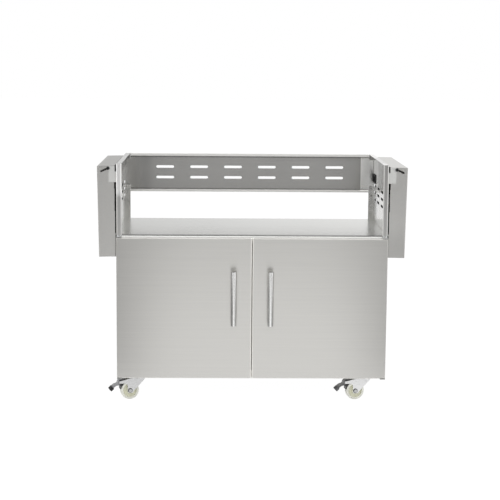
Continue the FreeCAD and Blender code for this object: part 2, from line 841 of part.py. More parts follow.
def catch_block(body, across, front, depth, toward):
    high = DECK_UNDER - d.deck_gap - d.front_rail_height
    sketch = sketch_on(body, "XZ_Plane", front)
    rectangle(sketch, across, (high - d.catch_height, high))
    return pad(body, sketch, depth, toward)


def door_catches():
    """Magnets under the front rail, one behind each door's free edge."""
    front = FRAME_FRONT - d.door_gap + d.strike_thickness + d.catch_gap
    magnets = []
    for side in (LEFT, RIGHT):
        body = new_body(f"{SIDE_NAME[side]}_catch")
        near, far = d.catch_offset - d.catch_width / 2, d.catch_offset + d.catch_width / 2
        block = catch_block(body, (near, far) if side == RIGHT else (-far, -near), front, d.catch_depth, 1)
        round_edges(body, block, lambda edge: runs_along(edge, "y"), d.frame_sheet)
        magnets.append(body)
    return group("door_catches", magnets)


def catch_strike(side):
    """Steel plate on the door liner that the magnet holds."""
    body = new_body(f"{SIDE_NAME[side]}_catch_strike")
    middle = HINGE_X - d.catch_offset
    across = inwards(side, middle - d.catch_width / 2, middle + d.catch_width / 2)
    catch_block(body, across, DOOR_BACK, d.strike_thickness, 1)
    return node(hang(body, side))


# Fold-down shelves: each is drawn about its pivot, hanging plumb, and then leans on the lower pads
PIVOT_X = HALF_WIDTH + d.shelf_gap + d.pivot_out
SHELF_TOP = d.cart_height - d.shelf_drop
PIVOT_Z = SHELF_TOP - d.pivot_drop
SHELF_FRONT = FRAME_FRONT + d.shelf_inset
SHELF_BACK = FRAME_BACK - d.shelf_inset
LEAN_RISE = d.shelf_gap - d.lower_pad_thickness - d.pad_clearance
LEAN_RUN = d.shelf_length - d.pivot_drop
LEAN = Size(f"atan({LEAN_RISE.formula} / {LEAN_RUN.formula})",
            math.degrees(math.atan(LEAN_RISE.number / LEAN_RUN.number)))


def hinge_shelf(body, side):
    turn(body, FreeCAD.Vector(0, side, 0), LEAN)
    place(body, PIVOT_X * side, 0, PIVOT_Z)
    return body


def shelf_tray(side):
    """Folded shelf top with deep edges all round and a slanted pivot slot at each end."""
    body = pan(f"{SIDE_NAME[side]}_shelf_tray", "YZ_Plane", (SHELF_FRONT, SHELF_BACK),
               (d.pivot_drop - d.shelf_length, d.pivot_drop), (d.shelf_thickness - d.pivot_out) * side,
               d.shelf_thickness, -side, d.shelf_sheet, d.shelf_bend)
    sketch = sketch_on(body, "XZ_Plane", FRAME_MIDDLE)
    slot(sketch, (0, 0), (d.slot_run * side, -d.slot_fall), d.bolt_diameter + d.slot_play * 2)
    cut(body, sketch, d.frame_depth, both=True)
    return node(hinge_shelf(body, side))


def shelf_stiffener(side):
    """Hat section along the middle of the shelf's underside."""
    body = new_body(f"{SIDE_NAME[side]}_shelf_stiffener")
    sheet = d.shelf_sheet
    skin = d.shelf_thickness - d.pivot_out - sheet
    crown = skin - d.stiffener_height
    middle = d.pivot_drop - d.shelf_length / 2
    half = d.stiffener_width / 2
    brim = half + d.stiffener_flange
    outline = [
        (skin, -brim), (skin, sheet - half), (crown + sheet, sheet - half), (crown + sheet, half - sheet),
        (skin, half - sheet), (skin, brim), (skin - sheet, brim), (skin - sheet, half), (crown, half),
        (crown, -half), (skin - sheet, -half), (skin - sheet, -brim),
    ]
    start = SHELF_FRONT + d.shelf_bend + d.seam_gap
    sketch = sketch_on(body, "XZ_Plane", start)
    polygon(sketch, [(x * side, middle + z) for x, z in outline])
    pad(body, sketch, SHELF_BACK - d.shelf_bend - d.seam_gap - start, 1)
    return node(hinge_shelf(body, side))


def bracket_plate_start(end):
    """Outer face of a bracket's plate, which stands just clear of the shelf's end."""
    offset = d.bracket_clearance + d.bracket_sheet
    return SHELF_FRONT - offset if end == FRONT else SHELF_BACK + offset


def shelf_brackets(side):
    """Angle brackets on the side panel: a plate beyond each end of the shelf that carries the pivot bolt."""
    wall = -(d.shelf_gap + d.pivot_out)
    low = d.pivot_drop - d.bracket_height
    neck = d.pivot_drop - d.bracket_neck
    edge = wall + d.bracket_width
    inner = wall + d.bracket_setback
    brackets = []
    for end in (FRONT, REAR):
        body = new_body(f"{SIDE_NAME[side]}_{END_NAME[end]}_bracket")
        start = bracket_plate_start(end)
        plate = sketch_on(body, "XZ_Plane", start)
        outline = [(wall, low), (edge, low), (edge, d.bracket_lug), (inner, d.bracket_lug),
                   (inner, neck), (wall, neck)]
        polygon(plate, [(x * side, z) for x, z in outline])
        pad(body, plate, d.bracket_sheet, -end)
        lug = sketch_on(body, "XZ_Plane", start)
        circle(lug, 0, 0, d.bracket_lug * 2)
        pad(body, lug, d.bracket_sheet, -end)
        leaf = sketch_on(body, "YZ_Plane", wall * side)
        ends = (start, start - d.bracket_leaf * end)
        rectangle(leaf, ends if end == FRONT else ends[::-1], (low, neck))
        pad(body, leaf, d.bracket_sheet, side)
        bore(body, "XZ_Plane", 0, 0, d.bolt_diameter)
        place(body, PIVOT_X * side, 0, PIVOT_Z)
        brackets.append(body)
    return group(f"{SIDE_NAME[side]}_shelf_brackets", brackets)


def shelf_pivots(side):
    """Shoulder bolts through the brackets and the shelf's slots, with nuts inside the shelf."""
    bolts = []
    for end in (FRONT, REAR):
        start = bracket_plate_start(end)
        shelf_end = SHELF_FRONT if end == FRONT else SHELF_BACK
        nut = shelf_end - (d.shelf_sheet + d.bracket_clearance) * end
        body = new_body(f"{SIDE_NAME[side]}_{END_NAME[end]}_pivot")
        for face, length, toward, diameter in (
                (start, d.bolt_head_height, end, d.bolt_head),
                (start, (start - nut) * end + d.nut_height, -end, d.bolt_diameter),
                (nut, d.nut_height, -end, d.bolt_head)):
            sketch = sketch_on(body, "XZ_Plane", face)
            circle(sketch, 0, 0, diameter)
            pad(body, sketch, length, toward)
        place(body, PIVOT_X * side, 0, PIVOT_Z)
        bolts.append(body)
    return group(f"{SIDE_NAME[side]}_shelf_pivots", bolts)


def shelf_stops(side):
    """Round pads on the side panel that the shelf rests against, folded and raised."""
    pads = []
    upper_thickness = d.shelf_gap + d.pivot_out - d.pivot_drop - d.slot_fall - d.pad_clearance
    rows = {
        "upper": (SHELF_TOP - d.upper_pad_drop, upper_thickness),
        "lower": (SHELF_TOP - d.shelf_length + d.lower_pad_rise, d.lower_pad_thickness),
    }
    for row, (level, thickness) in rows.items():
        for end in (FRONT, REAR):
            disc = doc.addObject("Part::Cylinder", f"{SIDE_NAME[side]}_{row}_{END_NAME[end]}_pad")
            bind(disc, "Radius", d.pad_diameter / 2)
            bind(disc, "Height", thickness)
            disc.Placement = FreeCAD.Placement(
                FreeCAD.Vector(), FreeCAD.Rotation(FreeCAD.Vector(0, 0, 1), FreeCAD.Vector(side, 0, 0)))
            place(disc, HALF_WIDTH * side, FRAME_MIDDLE + d.pad_spacing / 2 * end, level)
            pads.append(disc)
    return group(f"{SIDE_NAME[side]}_shelf_stops", pads)


# Casters: each is drawn about its swivel axis, trailing towards minus X, and then turned to its yaw
AXLE_X = -d.caster_trail
FORK_OUTER = d.fork_gap + d.fork_sheet * 2
PIN_DISTANCE = WHEEL_RADIUS + d.pedal_pin_gap
PIN_X = AXLE_X - PIN_DISTANCE * cosine(d.pedal_pin_angle)
PIN_Z = WHEEL_RADIUS + PIN_DISTANCE * sine(d.pedal_pin_angle)


def set_caster(body, spot, yawed=True):
    x, y = spot
    if yawed:
        yaw = d.left_caster_yaw if x.number < 0 else d.right_caster_yaw
        turn(body, FreeCAD.Vector(0, 0, 1), yaw)
    place(body, x, y)
    return body


def caster_plate(corner, spot):
    """Top plate with its upper race and the kingpin that the fork turns on."""
    body = new_body(f"{corner}_caster_plate")
    sketch = sketch_on(body, "XY_Plane", PLATE_LOW)
    rectangle(sketch, (-d.plate_length / 2, d.plate_length / 2), (-d.plate_width / 2, d.plate_width / 2))
    plate = pad(body, sketch, d.plate_thickness, 1)
    round_edges(body, plate, lambda edge: runs_along(edge, "z"), d.plate_corner)
    holes = sketch_on(body, "XY_Plane", PLATE_LOW)
    for along, across in plate_bolt_offsets():
        circle(holes, along, across, d.caster_bolt + d.screw_clearance)
    cut(body, holes, d.plate_thickness * PUNCH_DEPTH, both=True)
    head_low = HEAD_LOW - d.race_gap - d.kingpin_head_height
    for start, end, diameter in ((UPPER_RACE_LOW, PLATE_LOW, d.race_diameter),
                                 (head_low, UPPER_RACE_LOW, d.kingpin_diameter),
                                 (head_low, head_low + d.kingpin_head_height, d.kingpin_head)):
        sketch = sketch_on(body, "XY_Plane", start)
        circle(sketch, 0, 0, diameter)
        pad(body, sketch, end - start, 1)
    return node(set_caster(body, spot, yawed=False))


def caster_fork(corner, spot, braked):
    """Pressed fork: a round head with two tapering legs, and a nose over the tread for the brake."""
    body = new_body(f"{corner}_caster_fork")
    head = d.fork_head / 2
    neck = FORK_TOP - d.fork_neck
    foot = d.fork_foot
    heel = (AXLE_X - foot, WHEEL_RADIUS - foot)
    toe = (AXLE_X + foot, WHEEL_RADIUS - foot)
    arch = (AXLE_X - foot, PIN_Z - d.fork_chin)
    outline = [heel]
    if braked:
        nose = PIN_X - d.fork_nose
        outline += [arch, (nose, PIN_Z - d.fork_chin), (nose, PIN_Z + d.fork_brow)]
    else:
        outline.append((AXLE_X - foot, neck))
    outline += [(-head, FORK_TOP), (head, FORK_TOP), (head, neck),
                (AXLE_X + d.fork_shoulder, WHEEL_RADIUS), toe]
    side = sketch_on(body, "XZ_Plane")
    polygon(side, outline)
    block = pad(body, side, FORK_OUTER, both=True)
    rounded = round_edges(body, block, lambda edge: corner_at(edge, "y", heel, toe), foot / 2)
    if braked:
        round_edges(body, rounded, lambda edge: corner_at(edge, "y", arch), d.fork_arch)
    gap = sketch_on(body, "YZ_Plane")
    rectangle(gap, (-d.fork_gap / 2, d.fork_gap / 2), (0, HEAD_LOW))
    cut(body, gap, both=True)
    disc = sketch_on(body, "XY_Plane", HEAD_LOW)
    circle(disc, 0, 0, d.fork_head)
    pad(body, disc, d.fork_sheet, 1)
    race = sketch_on(body, "XY_Plane", FORK_TOP)
    circle(race, 0, 0, d.race_diameter)
    pad(body, race, d.race_height, 1)
    bore(body, "XY_Plane", 0, 0, d.kingpin_diameter + d.running_play * 2)
    bore(body, "XZ_Plane", AXLE_X, WHEEL_RADIUS, d.axle_diameter)
    if braked:
        bore(body, "XZ_Plane", PIN_X, PIN_Z, d.pedal_pin)
    return node(set_caster(body, spot))


def caster_wheel(corner, spot):
    """Moulded wheel turned from one section: crowned tread, sunk web and a hub bored for the axle."""
    body = new_body(f"{corner}_caster_wheel")
    bore_radius = d.axle_diameter / 2 + d.running_play
    tread = d.wheel_width / 2
    rim = WHEEL_RADIUS - d.rim_depth
    hub = d.hub_diameter / 2
    web = d.web_width / 2
    half = [(bore_radius, d.hub_width / 2), (hub, d.hub_width / 2), (hub, web), (rim, web), (rim, tread),
            (WHEEL_RADIUS - d.wheel_crown, tread), (WHEEL_RADIUS, tread - d.wheel_crown)]
    sketch = sketch_on(body, "XY_Plane", WHEEL_RADIUS, (AXLE_X, 0))
    polygon(sketch, half + [(radius, -across) for radius, across in reversed(half)])
    turned = body.newObject("PartDesign::Revolution", f"{body.Name}_turned")
    turned.Profile = sketch
    turned.ReferenceAxis = (sketch, ["V_Axis"])
    turned.Angle = 360
    return node(set_caster(body, spot))


def caster_axle(corner, spot):
    """Axle bolt through both legs, with its hexagon head and nut."""
    body = new_body(f"{corner}_caster_axle")
    rod_sketch = sketch_on(body, "XZ_Plane")
    circle(rod_sketch, AXLE_X, WHEEL_RADIUS, d.axle_diameter)
    pad(body, rod_sketch, FORK_OUTER, both=True)
    for end in (FRONT, REAR):
        hexagon_sketch = sketch_on(body, "XZ_Plane", FORK_OUTER / 2 * end)
        hexagon(hexagon_sketch, AXLE_X, WHEEL_RADIUS, d.axle_hex)
        pad(body, hexagon_sketch, d.axle_head, end)
    return node(set_caster(body, spot))


def beside_tread(angle, radius):
    """A point at a distance from the axle, turned up from the trailing side by an angle."""
    return (AXLE_X - radius * cosine(angle), WHEEL_RADIUS + radius * sine(angle))


def brake_shoe(body):
    """Curved shoe that hugs the tread, cut from a wedge about the axle by two circles."""
    inner = WHEEL_RADIUS + d.brake_clearance
    outer = inner + d.shoe_thickness
    far = d.wheel_diameter
    wedge = sketch_on(body, "XZ_Plane")
    polygon(wedge, [(AXLE_X, WHEEL_RADIUS), beside_tread(d.shoe_high, far), beside_tread(d.shoe_low, far)])
    pad(body, wedge, d.pedal_width, both=True)
    bore(body, "XZ_Plane", AXLE_X, WHEEL_RADIUS, inner * 2)
    outside = sketch_on(body, "XZ_Plane")
    circle(outside, AXLE_X, WHEEL_RADIUS, outer * 2)
    circle(outside, AXLE_X, WHEEL_RADIUS, far * 2)
    cut(body, outside, both=True)


def brake_pedal(corner, spot):
    """Foot pedal, pressed: a shoe on the tread, a crown over its pin and an arm arched down to the toe."""
    body = new_body(f"{corner}_brake_pedal")
    brake_shoe(body)

    def along_arm(shares, height):
        return [(PIN_X - d.pedal_reach * out, PIN_Z + height * up) for out, up in shares]

    # Shares of the reach, and of the crown's height above the pin or of the fall below it
    crown = along_arm(((0, 1), (0.2, 0.8), (0.31, 0.33)), d.pedal_crown)
    arch = along_arm(((0.35, -0.13), (0.45, -0.2), (0.6, -0.25), (0.73, -0.37), (0.86, -0.54)), d.pedal_fall)
    toe = along_arm(((1, -0.745), (0.918, -1)), d.pedal_fall)
    hollow = along_arm(((0.8, -0.85), (0.69, -0.66), (0.6, -0.52), (0.48, -0.41), (0.33, -0.35)),
                       d.pedal_fall)
    shoe_middle = WHEEL_RADIUS + d.brake_clearance + d.shoe_thickness / 2
    root = [beside_tread((d.shoe_low + d.shoe_high) / 2, shoe_middle), beside_tread(d.shoe_high, shoe_middle)]
    heel = [(PIN_X + d.pedal_heel, PIN_Z + d.pedal_hub / 2), (PIN_X + d.pedal_heel, PIN_Z + d.pedal_crown)]
    arm = sketch_on(body, "XZ_Plane")
    polygon(arm, crown + arch + toe + hollow + root + heel)
    profile = pad(body, arm, d.pedal_width, both=True)
    curved = round_edges(body, profile, lambda edge: corner_at(edge, "y", *arch[1:], *hollow), d.pedal_arch)
    round_edges(body, curved, lambda edge: corner_at(edge, "y", *toe), d.pedal_toe)
    boss = sketch_on(body, "XZ_Plane")
    circle(boss, PIN_X, PIN_Z, d.pedal_hub)
    pad(body, boss, d.pedal_width, both=True)
    bore(body, "XZ_Plane", PIN_X, PIN_Z, d.pedal_pin + d.running_play * 2)
    return node(set_caster(body, spot))


def brake_pin(corner, spot):
    body = rod(f"{corner}_brake_pin", "XZ_Plane", PIN_X, PIN_Z,
               ((FORK_OUTER / -2 - d.fork_sheet / 2, FORK_OUTER / 2 + d.fork_sheet / 2, d.pedal_pin),))
    return node(set_caster(body, spot))


def caster_bolts(spots):
    """Four bolts up through each caster plate and the floor, with nuts inside the cupboard."""
    floor_top = MOUNT_HEIGHT + d.frame_sheet
    bolts = []
    for corner, (x, y) in spots.items():
        for index, (along, across) in enumerate(plate_bolt_offsets(), start=1):
            name = f"{corner}_bolt_{index}"
            shank = doc.addObject("Part::Cylinder", f"{name}_shank")
            bind(shank, "Radius", d.caster_bolt / 2)
            bind(shank, "Height", d.plate_thickness + d.frame_sheet + d.caster_nut)
            place(shank, x + along, y + across, PLATE_LOW)
            members = [shank]
            for part, low, tall in (("head", PLATE_LOW - d.caster_bolt_head, d.caster_bolt_head),
                                    ("nut", floor_top, d.caster_nut)):
                hexagonal = doc.addObject("Part::Prism", f"{name}_{part}")
                hexagonal.Polygon = 6
                bind(hexagonal, "Circumradius", corner_reach(d.caster_bolt_hex))
                bind(hexagonal, "Height", tall)
                place(hexagonal, x + along, y + across, low)
                members.append(hexagonal)
            bolt = doc.addObject("Part::MultiFuse", name)
            bolt.Shapes = members
            bolts.append(bolt)
    return group("caster_bolts", bolts)


def build():
    for side in (LEFT, RIGHT):
        side_panel(side)
    hose_grommet()
    floor_panel()
    back_panel()
    grill_deck()
    front_rail()
    rear_rail()
    door_catches()
    for side in (LEFT, RIGHT):
        for piece in (door_skin, door_liner, handle_bar, handle_posts, handle_screws, hinge_bushes,
                      hinge_brackets, hinge_pins, catch_strike, shelf_tray, shelf_stiffener,
                      shelf_brackets, shelf_pivots, shelf_stops):
            piece(side)
    spots = caster_positions()
    for corner, spot in spots.items():
        braked = corner.startswith(END_NAME[FRONT])
        caster_plate(corner, spot)
        caster_fork(corner, spot, braked)
        caster_wheel(corner, spot)
        caster_axle(corner, spot)
        if braked:
            brake_pedal(corner, spot)
            brake_pin(corner, spot)
    caster_bolts(spots)


def export():
    doc.recompute()
    failed = [obj.Label for obj in doc.Objects if "Invalid" in obj.State or "Error" in obj.State]
    if failed:
        raise RuntimeError(f"these objects did not compute: {failed}")
    for piece in nodes:
        if piece.Shape.isNull() or not piece.Shape.isValid():
            raise RuntimeError(f"{piece.Label} has no valid shape")
    os.makedirs("parts", exist_ok=True)
    for piece in nodes:
        piece.Shape.exportStep(f"parts/{piece.Label}.step")


build()
export()
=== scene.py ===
import json
import logging
import math
from abc import ABC, abstractmethod
from dataclasses import dataclass
from enum import Enum
from typing import Any, Callable, Sequence

import bmesh
import bpy
from mathutils import Matrix, Vector


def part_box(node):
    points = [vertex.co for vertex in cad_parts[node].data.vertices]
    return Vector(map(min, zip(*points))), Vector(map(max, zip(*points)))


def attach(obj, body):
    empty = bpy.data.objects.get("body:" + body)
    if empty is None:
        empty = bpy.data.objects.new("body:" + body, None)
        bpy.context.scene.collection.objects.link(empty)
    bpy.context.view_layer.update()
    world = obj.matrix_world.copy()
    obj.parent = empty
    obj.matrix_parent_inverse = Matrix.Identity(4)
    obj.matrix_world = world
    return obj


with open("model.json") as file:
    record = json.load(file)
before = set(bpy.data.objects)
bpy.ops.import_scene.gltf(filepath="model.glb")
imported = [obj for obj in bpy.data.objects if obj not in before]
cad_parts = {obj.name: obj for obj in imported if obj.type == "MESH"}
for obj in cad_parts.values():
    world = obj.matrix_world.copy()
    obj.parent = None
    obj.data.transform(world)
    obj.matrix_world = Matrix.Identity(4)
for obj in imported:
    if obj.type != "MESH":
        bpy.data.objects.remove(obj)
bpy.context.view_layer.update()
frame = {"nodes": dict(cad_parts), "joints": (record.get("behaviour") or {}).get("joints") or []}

LOG = logging.getLogger("grill_cart")
MM = 0.001
MERGE = 1e-6
SHARP = math.radians(35)
ZONE_EDGE = 0.6 * MM
UP = Vector((0.0, 0.0, 1.0))

Triple = tuple[float, float, float]
Span = tuple[float, float]
Profile = tuple[Span, ...]
Maker = Callable[[], bmesh.types.BMesh]


class Side(Enum):
    """The two sides of the cart, as seen from the front."""

    LEFT = -1
    RIGHT = 1

    @property
    def word(self) -> str:
        """The side's name as the nodes spell it."""
        return self.name.lower()

    def pick(self, pair: Sequence[Any]) -> Any:
        """The one of a left and a right value that belongs to this side."""
        return pair[0] if self is Side.LEFT else pair[1]

    def span(self, low: float, high: float) -> Span:
        """A span along X on this side.

        Args:
            low: Its lower limit on the left side.
            high: Its upper limit there.

        Returns:
            The span, mirrored for the right side.
        """
        return (low, high) if self is Side.LEFT else (-high, -low)


class Axis(Enum):
    """The three directions of the cart's frame."""

    X = 0
    Y = 1
    Z = 2


class Corner(Enum):
    """The four casters."""

    FRONT_LEFT = "front_left"
    FRONT_RIGHT = "front_right"
    REAR_LEFT = "rear_left"
    REAR_RIGHT = "rear_right"

    @property
    def side(self) -> Side:
        """The side of the cart it stands on."""
        return Side.LEFT if "left" in self.value else Side.RIGHT

    @property
    def braked(self) -> bool:
        """Whether this caster has a brake pedal."""
        return f"{self.value}_brake_pedal" in frame["nodes"]


# Shader values and node graphs
class Value:
    """A shader socket that arithmetic can be written on."""

    def __init__(self, graph: "Graph", socket: bpy.types.NodeSocket) -> None:
        """Keep the graph that new nodes go into.

        Args:
            graph: The graph that holds the socket.
            socket: An output socket of one of its nodes.
        """
        self.graph = graph
        self.socket = socket

    def _math(self, operation: str, first: Any, second: Any) -> "Value":
        """Add one Math node.

        Args:
            operation: The node's operation.
            first: Its first value.
            second: Its second value.

        Returns:
            The node's result.
        """
        return self.graph.node("ShaderNodeMath", {"operation": operation}, {0: first, 1: second})

    def __add__(self, other: Any) -> "Value":
        """Sum."""
        return self._math("ADD", self, other)

    def __radd__(self, other: Any) -> "Value":
        """Sum, from the right."""
        return self._math("ADD", other, self)

    def __sub__(self, other: Any) -> "Value":
        """Difference."""
        return self._math("SUBTRACT", self, other)

    def __rsub__(self, other: Any) -> "Value":
        """Difference, from the right."""
        return self._math("SUBTRACT", other, self)

    def __mul__(self, other: Any) -> "Value":
        """Product."""
        return self._math("MULTIPLY", self, other)

    def __rmul__(self, other: Any) -> "Value":
        """Product, from the right."""
        return self._math("MULTIPLY", other, self)

    def __truediv__(self, other: Any) -> "Value":
        """Quotient."""
        return self._math("DIVIDE", self, other)

    def __rtruediv__(self, other: Any) -> "Value":
        """Quotient, from the right."""
        return self._math("DIVIDE", other, self)

    def __pow__(self, other: Any) -> "Value":
        """Power."""
        return self._math("POWER", self, other)

    def __rpow__(self, other: Any) -> "Value":
        """Power, from the right."""
        return self._math("POWER", other, self)

    def at_least(self, other: Any) -> "Value":
        """The larger of two values."""
        return self._math("MAXIMUM", self, other)

    def size(self) -> "Value":
        """The value without its sign."""
        return self._math("ABSOLUTE", self, 0.0)

    def sine(self) -> "Value":
        """The value's sine."""
        return self._math("SINE", self, 0.0)


def opaque(colour: Triple) -> tuple[float, float, float, float]:
    """A colour as a socket takes it."""
    return (*colour, 1.0)


def thrice(value: float) -> Triple:
    """One value three times, for a grey or an even scale."""
    return (value, value, value)


class Graph:
    """The nodes of one material or of the world."""

    def __init__(self, tree: bpy.types.NodeTree) -> None:
        """Start from an empty tree.

        Args:
            tree: The tree to fill.
        """
        self.tree = tree
        tree.nodes.clear()

    def node(self, kind: str, settings: dict[str, Any] | None = None,
             sockets: dict[Any, Any] | None = None, output: Any = 0) -> Value:
        """Add a node, set it up and link it.

        Args:
            kind: The node's type.
            settings: Its own settings, which are set first.
            sockets: Values or links of its inputs, by name or number.
            output: Which output to return.

        Returns:
            The chosen output as a value.
        """
        made = self.tree.nodes.new(kind)
        for name, setting in (settings or {}).items():
            setattr(made, name, setting)
        for name, given in (sockets or {}).items():
            if isinstance(given, Value):
                self.tree.links.new(given.socket, made.inputs[name])
            else:
                made.inputs[name].default_value = given
        return Value(self, made.outputs[output])

    def show(self, kind: str, shader: Value) -> None:
        """Add an output node.

        Args:
            kind: The output's type.
            shader: What it shows.
        """
        made = self.tree.nodes.new(kind)
        self.tree.links.new(shader.socket, made.inputs["Surface"])

    def surface(self, sockets: dict[str, Any]) -> None:
        """Show a Principled surface.

        Args:
            sockets: Values or links of its inputs.
        """
        self.show("ShaderNodeOutputMaterial", self.node("ShaderNodeBsdfPrincipled", {}, sockets))

    def place(self) -> Value:
        """The point on the piece, in the cart's frame."""
        return self.node("ShaderNodeTexCoord", output="Object")

    def offset(self, point: Vector) -> Value:
        """The way from a fixed point to the point on the piece."""
        return self.node("ShaderNodeVectorMath", {"operation": "SUBTRACT"}, {0: self.place(), 1: point})

    def dot(self, first: Value, second: Any) -> Value:
        """The dot product of two vectors.

        Args:
            first: A vector link.
            second: A vector or a link.

        Returns:
            The product.
        """
        return self.node("ShaderNodeVectorMath", {"operation": "DOT_PRODUCT"}, {0: first, 1: second}, "Value")

    def part(self, vector: Value, axis: Axis) -> Value:
        """One coordinate of a vector.

        Args:
            vector: A vector link.
            axis: The coordinate that is wanted.

        Returns:
            The coordinate.
        """
        return self.node("ShaderNodeSeparateXYZ", sockets={0: vector}, output=axis.value)

    def along(self, axis: Axis) -> Value:
        """One coordinate of the point on the piece, in metres."""
        return self.part(self.place(), axis)

    def noise(self, scale: Triple, detail: float = 3.0) -> Value:
        """Smooth noise, stretched by a scale along each axis.

        Args:
            scale: Waves per metre along each axis.
            detail: Octaves.

        Returns:
            Noise about zero, within half a unit.
        """
        stretched = self.node("ShaderNodeMapping", {"vector_type": "POINT"},
                              {"Vector": self.place(), "Scale": scale})
        cloud = self.node("ShaderNodeTexNoise", {},
                          {"Vector": stretched, "Scale": 1.0, "Detail": detail}, "Fac")
        return cloud - 0.5

    def rise(self, value: Value, low: float, high: float) -> Value:
        """A smooth step between two limits.

        Args:
            value: What is measured.
            low: Where the step is zero.
            high: Where it has reached one.

        Returns:
            The step, from 0 to 1.
        """
        return self.node("ShaderNodeMapRange", {"interpolation_type": "SMOOTHSTEP"},
                         {"Value": value, "From Min": low, "From Max": high})

    def band(self, value: Value, low: float, high: float, soft: float) -> Value:
        """A mask of one between two limits.

        Args:
            value: What is measured.
            low: Where the mask begins.
            high: Where it ends.
            soft: Half the width of each flank.

        Returns:
            The mask, from 0 to 1.
        """
        return self.rise(value, low - soft, low + soft) * (1.0 - self.rise(value, high - soft, high + soft))

    def mix(self, factor: Any, first: Any, second: Any, blend: str = "MIX") -> Value:
        """Mix two colours.

        Args:
            factor: Share of the second.
            first: A colour or a link.
            second: A colour or a link.
            blend: How they combine.

        Returns:
            The colour.
        """
        colours = [given if isinstance(given, Value) else opaque(given) for given in (first, second)]
        return self.node("ShaderNodeMix", {"data_type": "RGBA", "blend_type": blend},
                         {0: factor, 6: colours[0], 7: colours[1]}, 2)

    def shade(self, level: Value) -> Value:
        """A grey of a varying level."""
        return self.node("ShaderNodeCombineColor", {}, {0: level, 1: level, 2: level})

    def scaled(self, colour: Any, gain: Value) -> Value:
        """A colour made lighter or darker.

        Args:
            colour: A colour or a link.
            gain: What it is multiplied by.

        Returns:
            The colour.
        """
        return self.mix(1.0, colour, self.shade(gain), "MULTIPLY")

    def bump(self, height: Value, strength: float, depth: float) -> Value:
        """A relief for a shader's Normal.

        Args:
            height: The relief's height.
            strength: Its share.
            depth: What one unit of height measures in metres.

        Returns:
            The normal.
        """
        return self.node("ShaderNodeBump", {},
                         {"Strength": strength, "Distance": depth, "Height": height}, "Normal")

    def ray(self, kind: str) -> Value:
        """One of Light Path's tests, such as Is Camera Ray."""
        return self.node("ShaderNodeLightPath", output=kind)

    def seen(self) -> Value:
        """One where the camera looks, straight or through something clear."""
        return self.ray("Is Camera Ray").at_least(self.ray("Is Transmission Ray"))


def new_graph(name: str) -> tuple[bpy.types.Material, Graph]:
    """A material with an empty graph.

    Args:
        name: The material's name.

    Returns:
        The material and its graph.
    """
    material = bpy.data.materials.new(name)
    material.use_nodes = True
    return material, Graph(material.node_tree)


# Finishes
@dataclass(frozen=True)
class Finish(ABC):
    """A finish that becomes a material of its own name."""

    name: str

    @abstractmethod
    def fill(self, graph: Graph) -> None:
        """Put the finish's nodes into its material's graph."""

    def material(self) -> bpy.types.Material:
        """Build the finish.

        Returns:
            The material.
        """
        material, graph = new_graph(self.name)
        self.fill(graph)
        return material


@dataclass(frozen=True)
class Zone:
    """A box of a piece, in the cart's frame, where light or shade is painted: its colour is lighter or darker
    than the rest.

    The gain multiplies the tint to paint that light or shade, satin takes away from the metal's shine, and
    soft says how gently the zone ends along each axis.
    """

    gain: float
    x: Span | None = None
    y: Span | None = None
    z: Span | None = None
    roughness: float = 0.0
    satin: float = 0.0
    soft: Triple = thrice(ZONE_EDGE)

    def mask(self, graph: Graph) -> Value:
        """A mask of one inside the box.

        Args:
            graph: The graph of the piece's material.

        Returns:
            The mask, from 0 to 1.
        """
        bands = [graph.band(graph.along(axis), *span, soft)
                 for axis, span, soft in zip(Axis, (self.x, self.y, self.z), self.soft) if span]
        return math.prod(bands[1:], start=bands[0])


@dataclass(frozen=True)
class BrushedSteel(Finish):
    """Stainless sheet with a brushed grain, fine scratches and cloudy patches.

    The waves of fine and broad are per metre along and across the grain. Its zones paint light and shade into
    the tint.
    """

    tint: Triple = (0.775, 0.765, 0.735)
    grain: Axis = Axis.X
    roughness: float = 0.30
    anisotropy: float = 0.75
    turn: float = 0.25
    streaks: float = 0.06
    clouds: float = 0.05
    scratches: float = 0.02
    scratch_depth: float = 0.4 * MM
    edge: float = 1.0
    fine: Span = (5.0, 900.0)
    broad: Span = (2.0, 130.0)
    cloud_waves: float = 3.1
    rough_streaks: float = 0.06
    rough_clouds: float = 0.05
    zones: tuple[Zone, ...] = ()

    def _waves(self, run: Span) -> Triple:
        """Noise scale with its long side along the grain.

        Args:
            run: Waves per metre along and across the grain.

        Returns:
            The scale along each axis.
        """
        along, across = run
        return tuple(along if axis is self.grain else across for axis in Axis)

    def fill(self, graph: Graph) -> None:
        """Put the finish's nodes into its material's graph.

        Args:
            graph: The graph to fill.
        """
        fine = graph.noise(self._waves(self.fine), detail=2.0)
        broad = graph.noise(self._waves(self.broad), detail=4.0)
        cloud = graph.noise(thrice(self.cloud_waves))
        gain = 1.0 + fine * self.streaks + broad * self.streaks + cloud * self.clouds
        rough = self.roughness + broad * self.rough_streaks + cloud * self.rough_clouds
        metal = 1.0
        # Painted light and shade: each zone's gain lightens or darkens the tint.
        for zone in self.zones:
            mask = zone.mask(graph)
            gain = gain * (1.0 + mask * (zone.gain - 1.0))
            if zone.roughness:
                rough = rough + mask * zone.roughness
            if zone.satin:
                metal = metal - mask * zone.satin
        graph.surface({
            "Base Color": graph.scaled(self.tint, gain), "Metallic": metal, "Roughness": rough,
            "Anisotropic": self.anisotropy, "Anisotropic Rotation": self.turn,
            "Specular Tint": opaque(thrice(self.edge)),
            "Normal": graph.bump(fine, self.scratches, self.scratch_depth)})


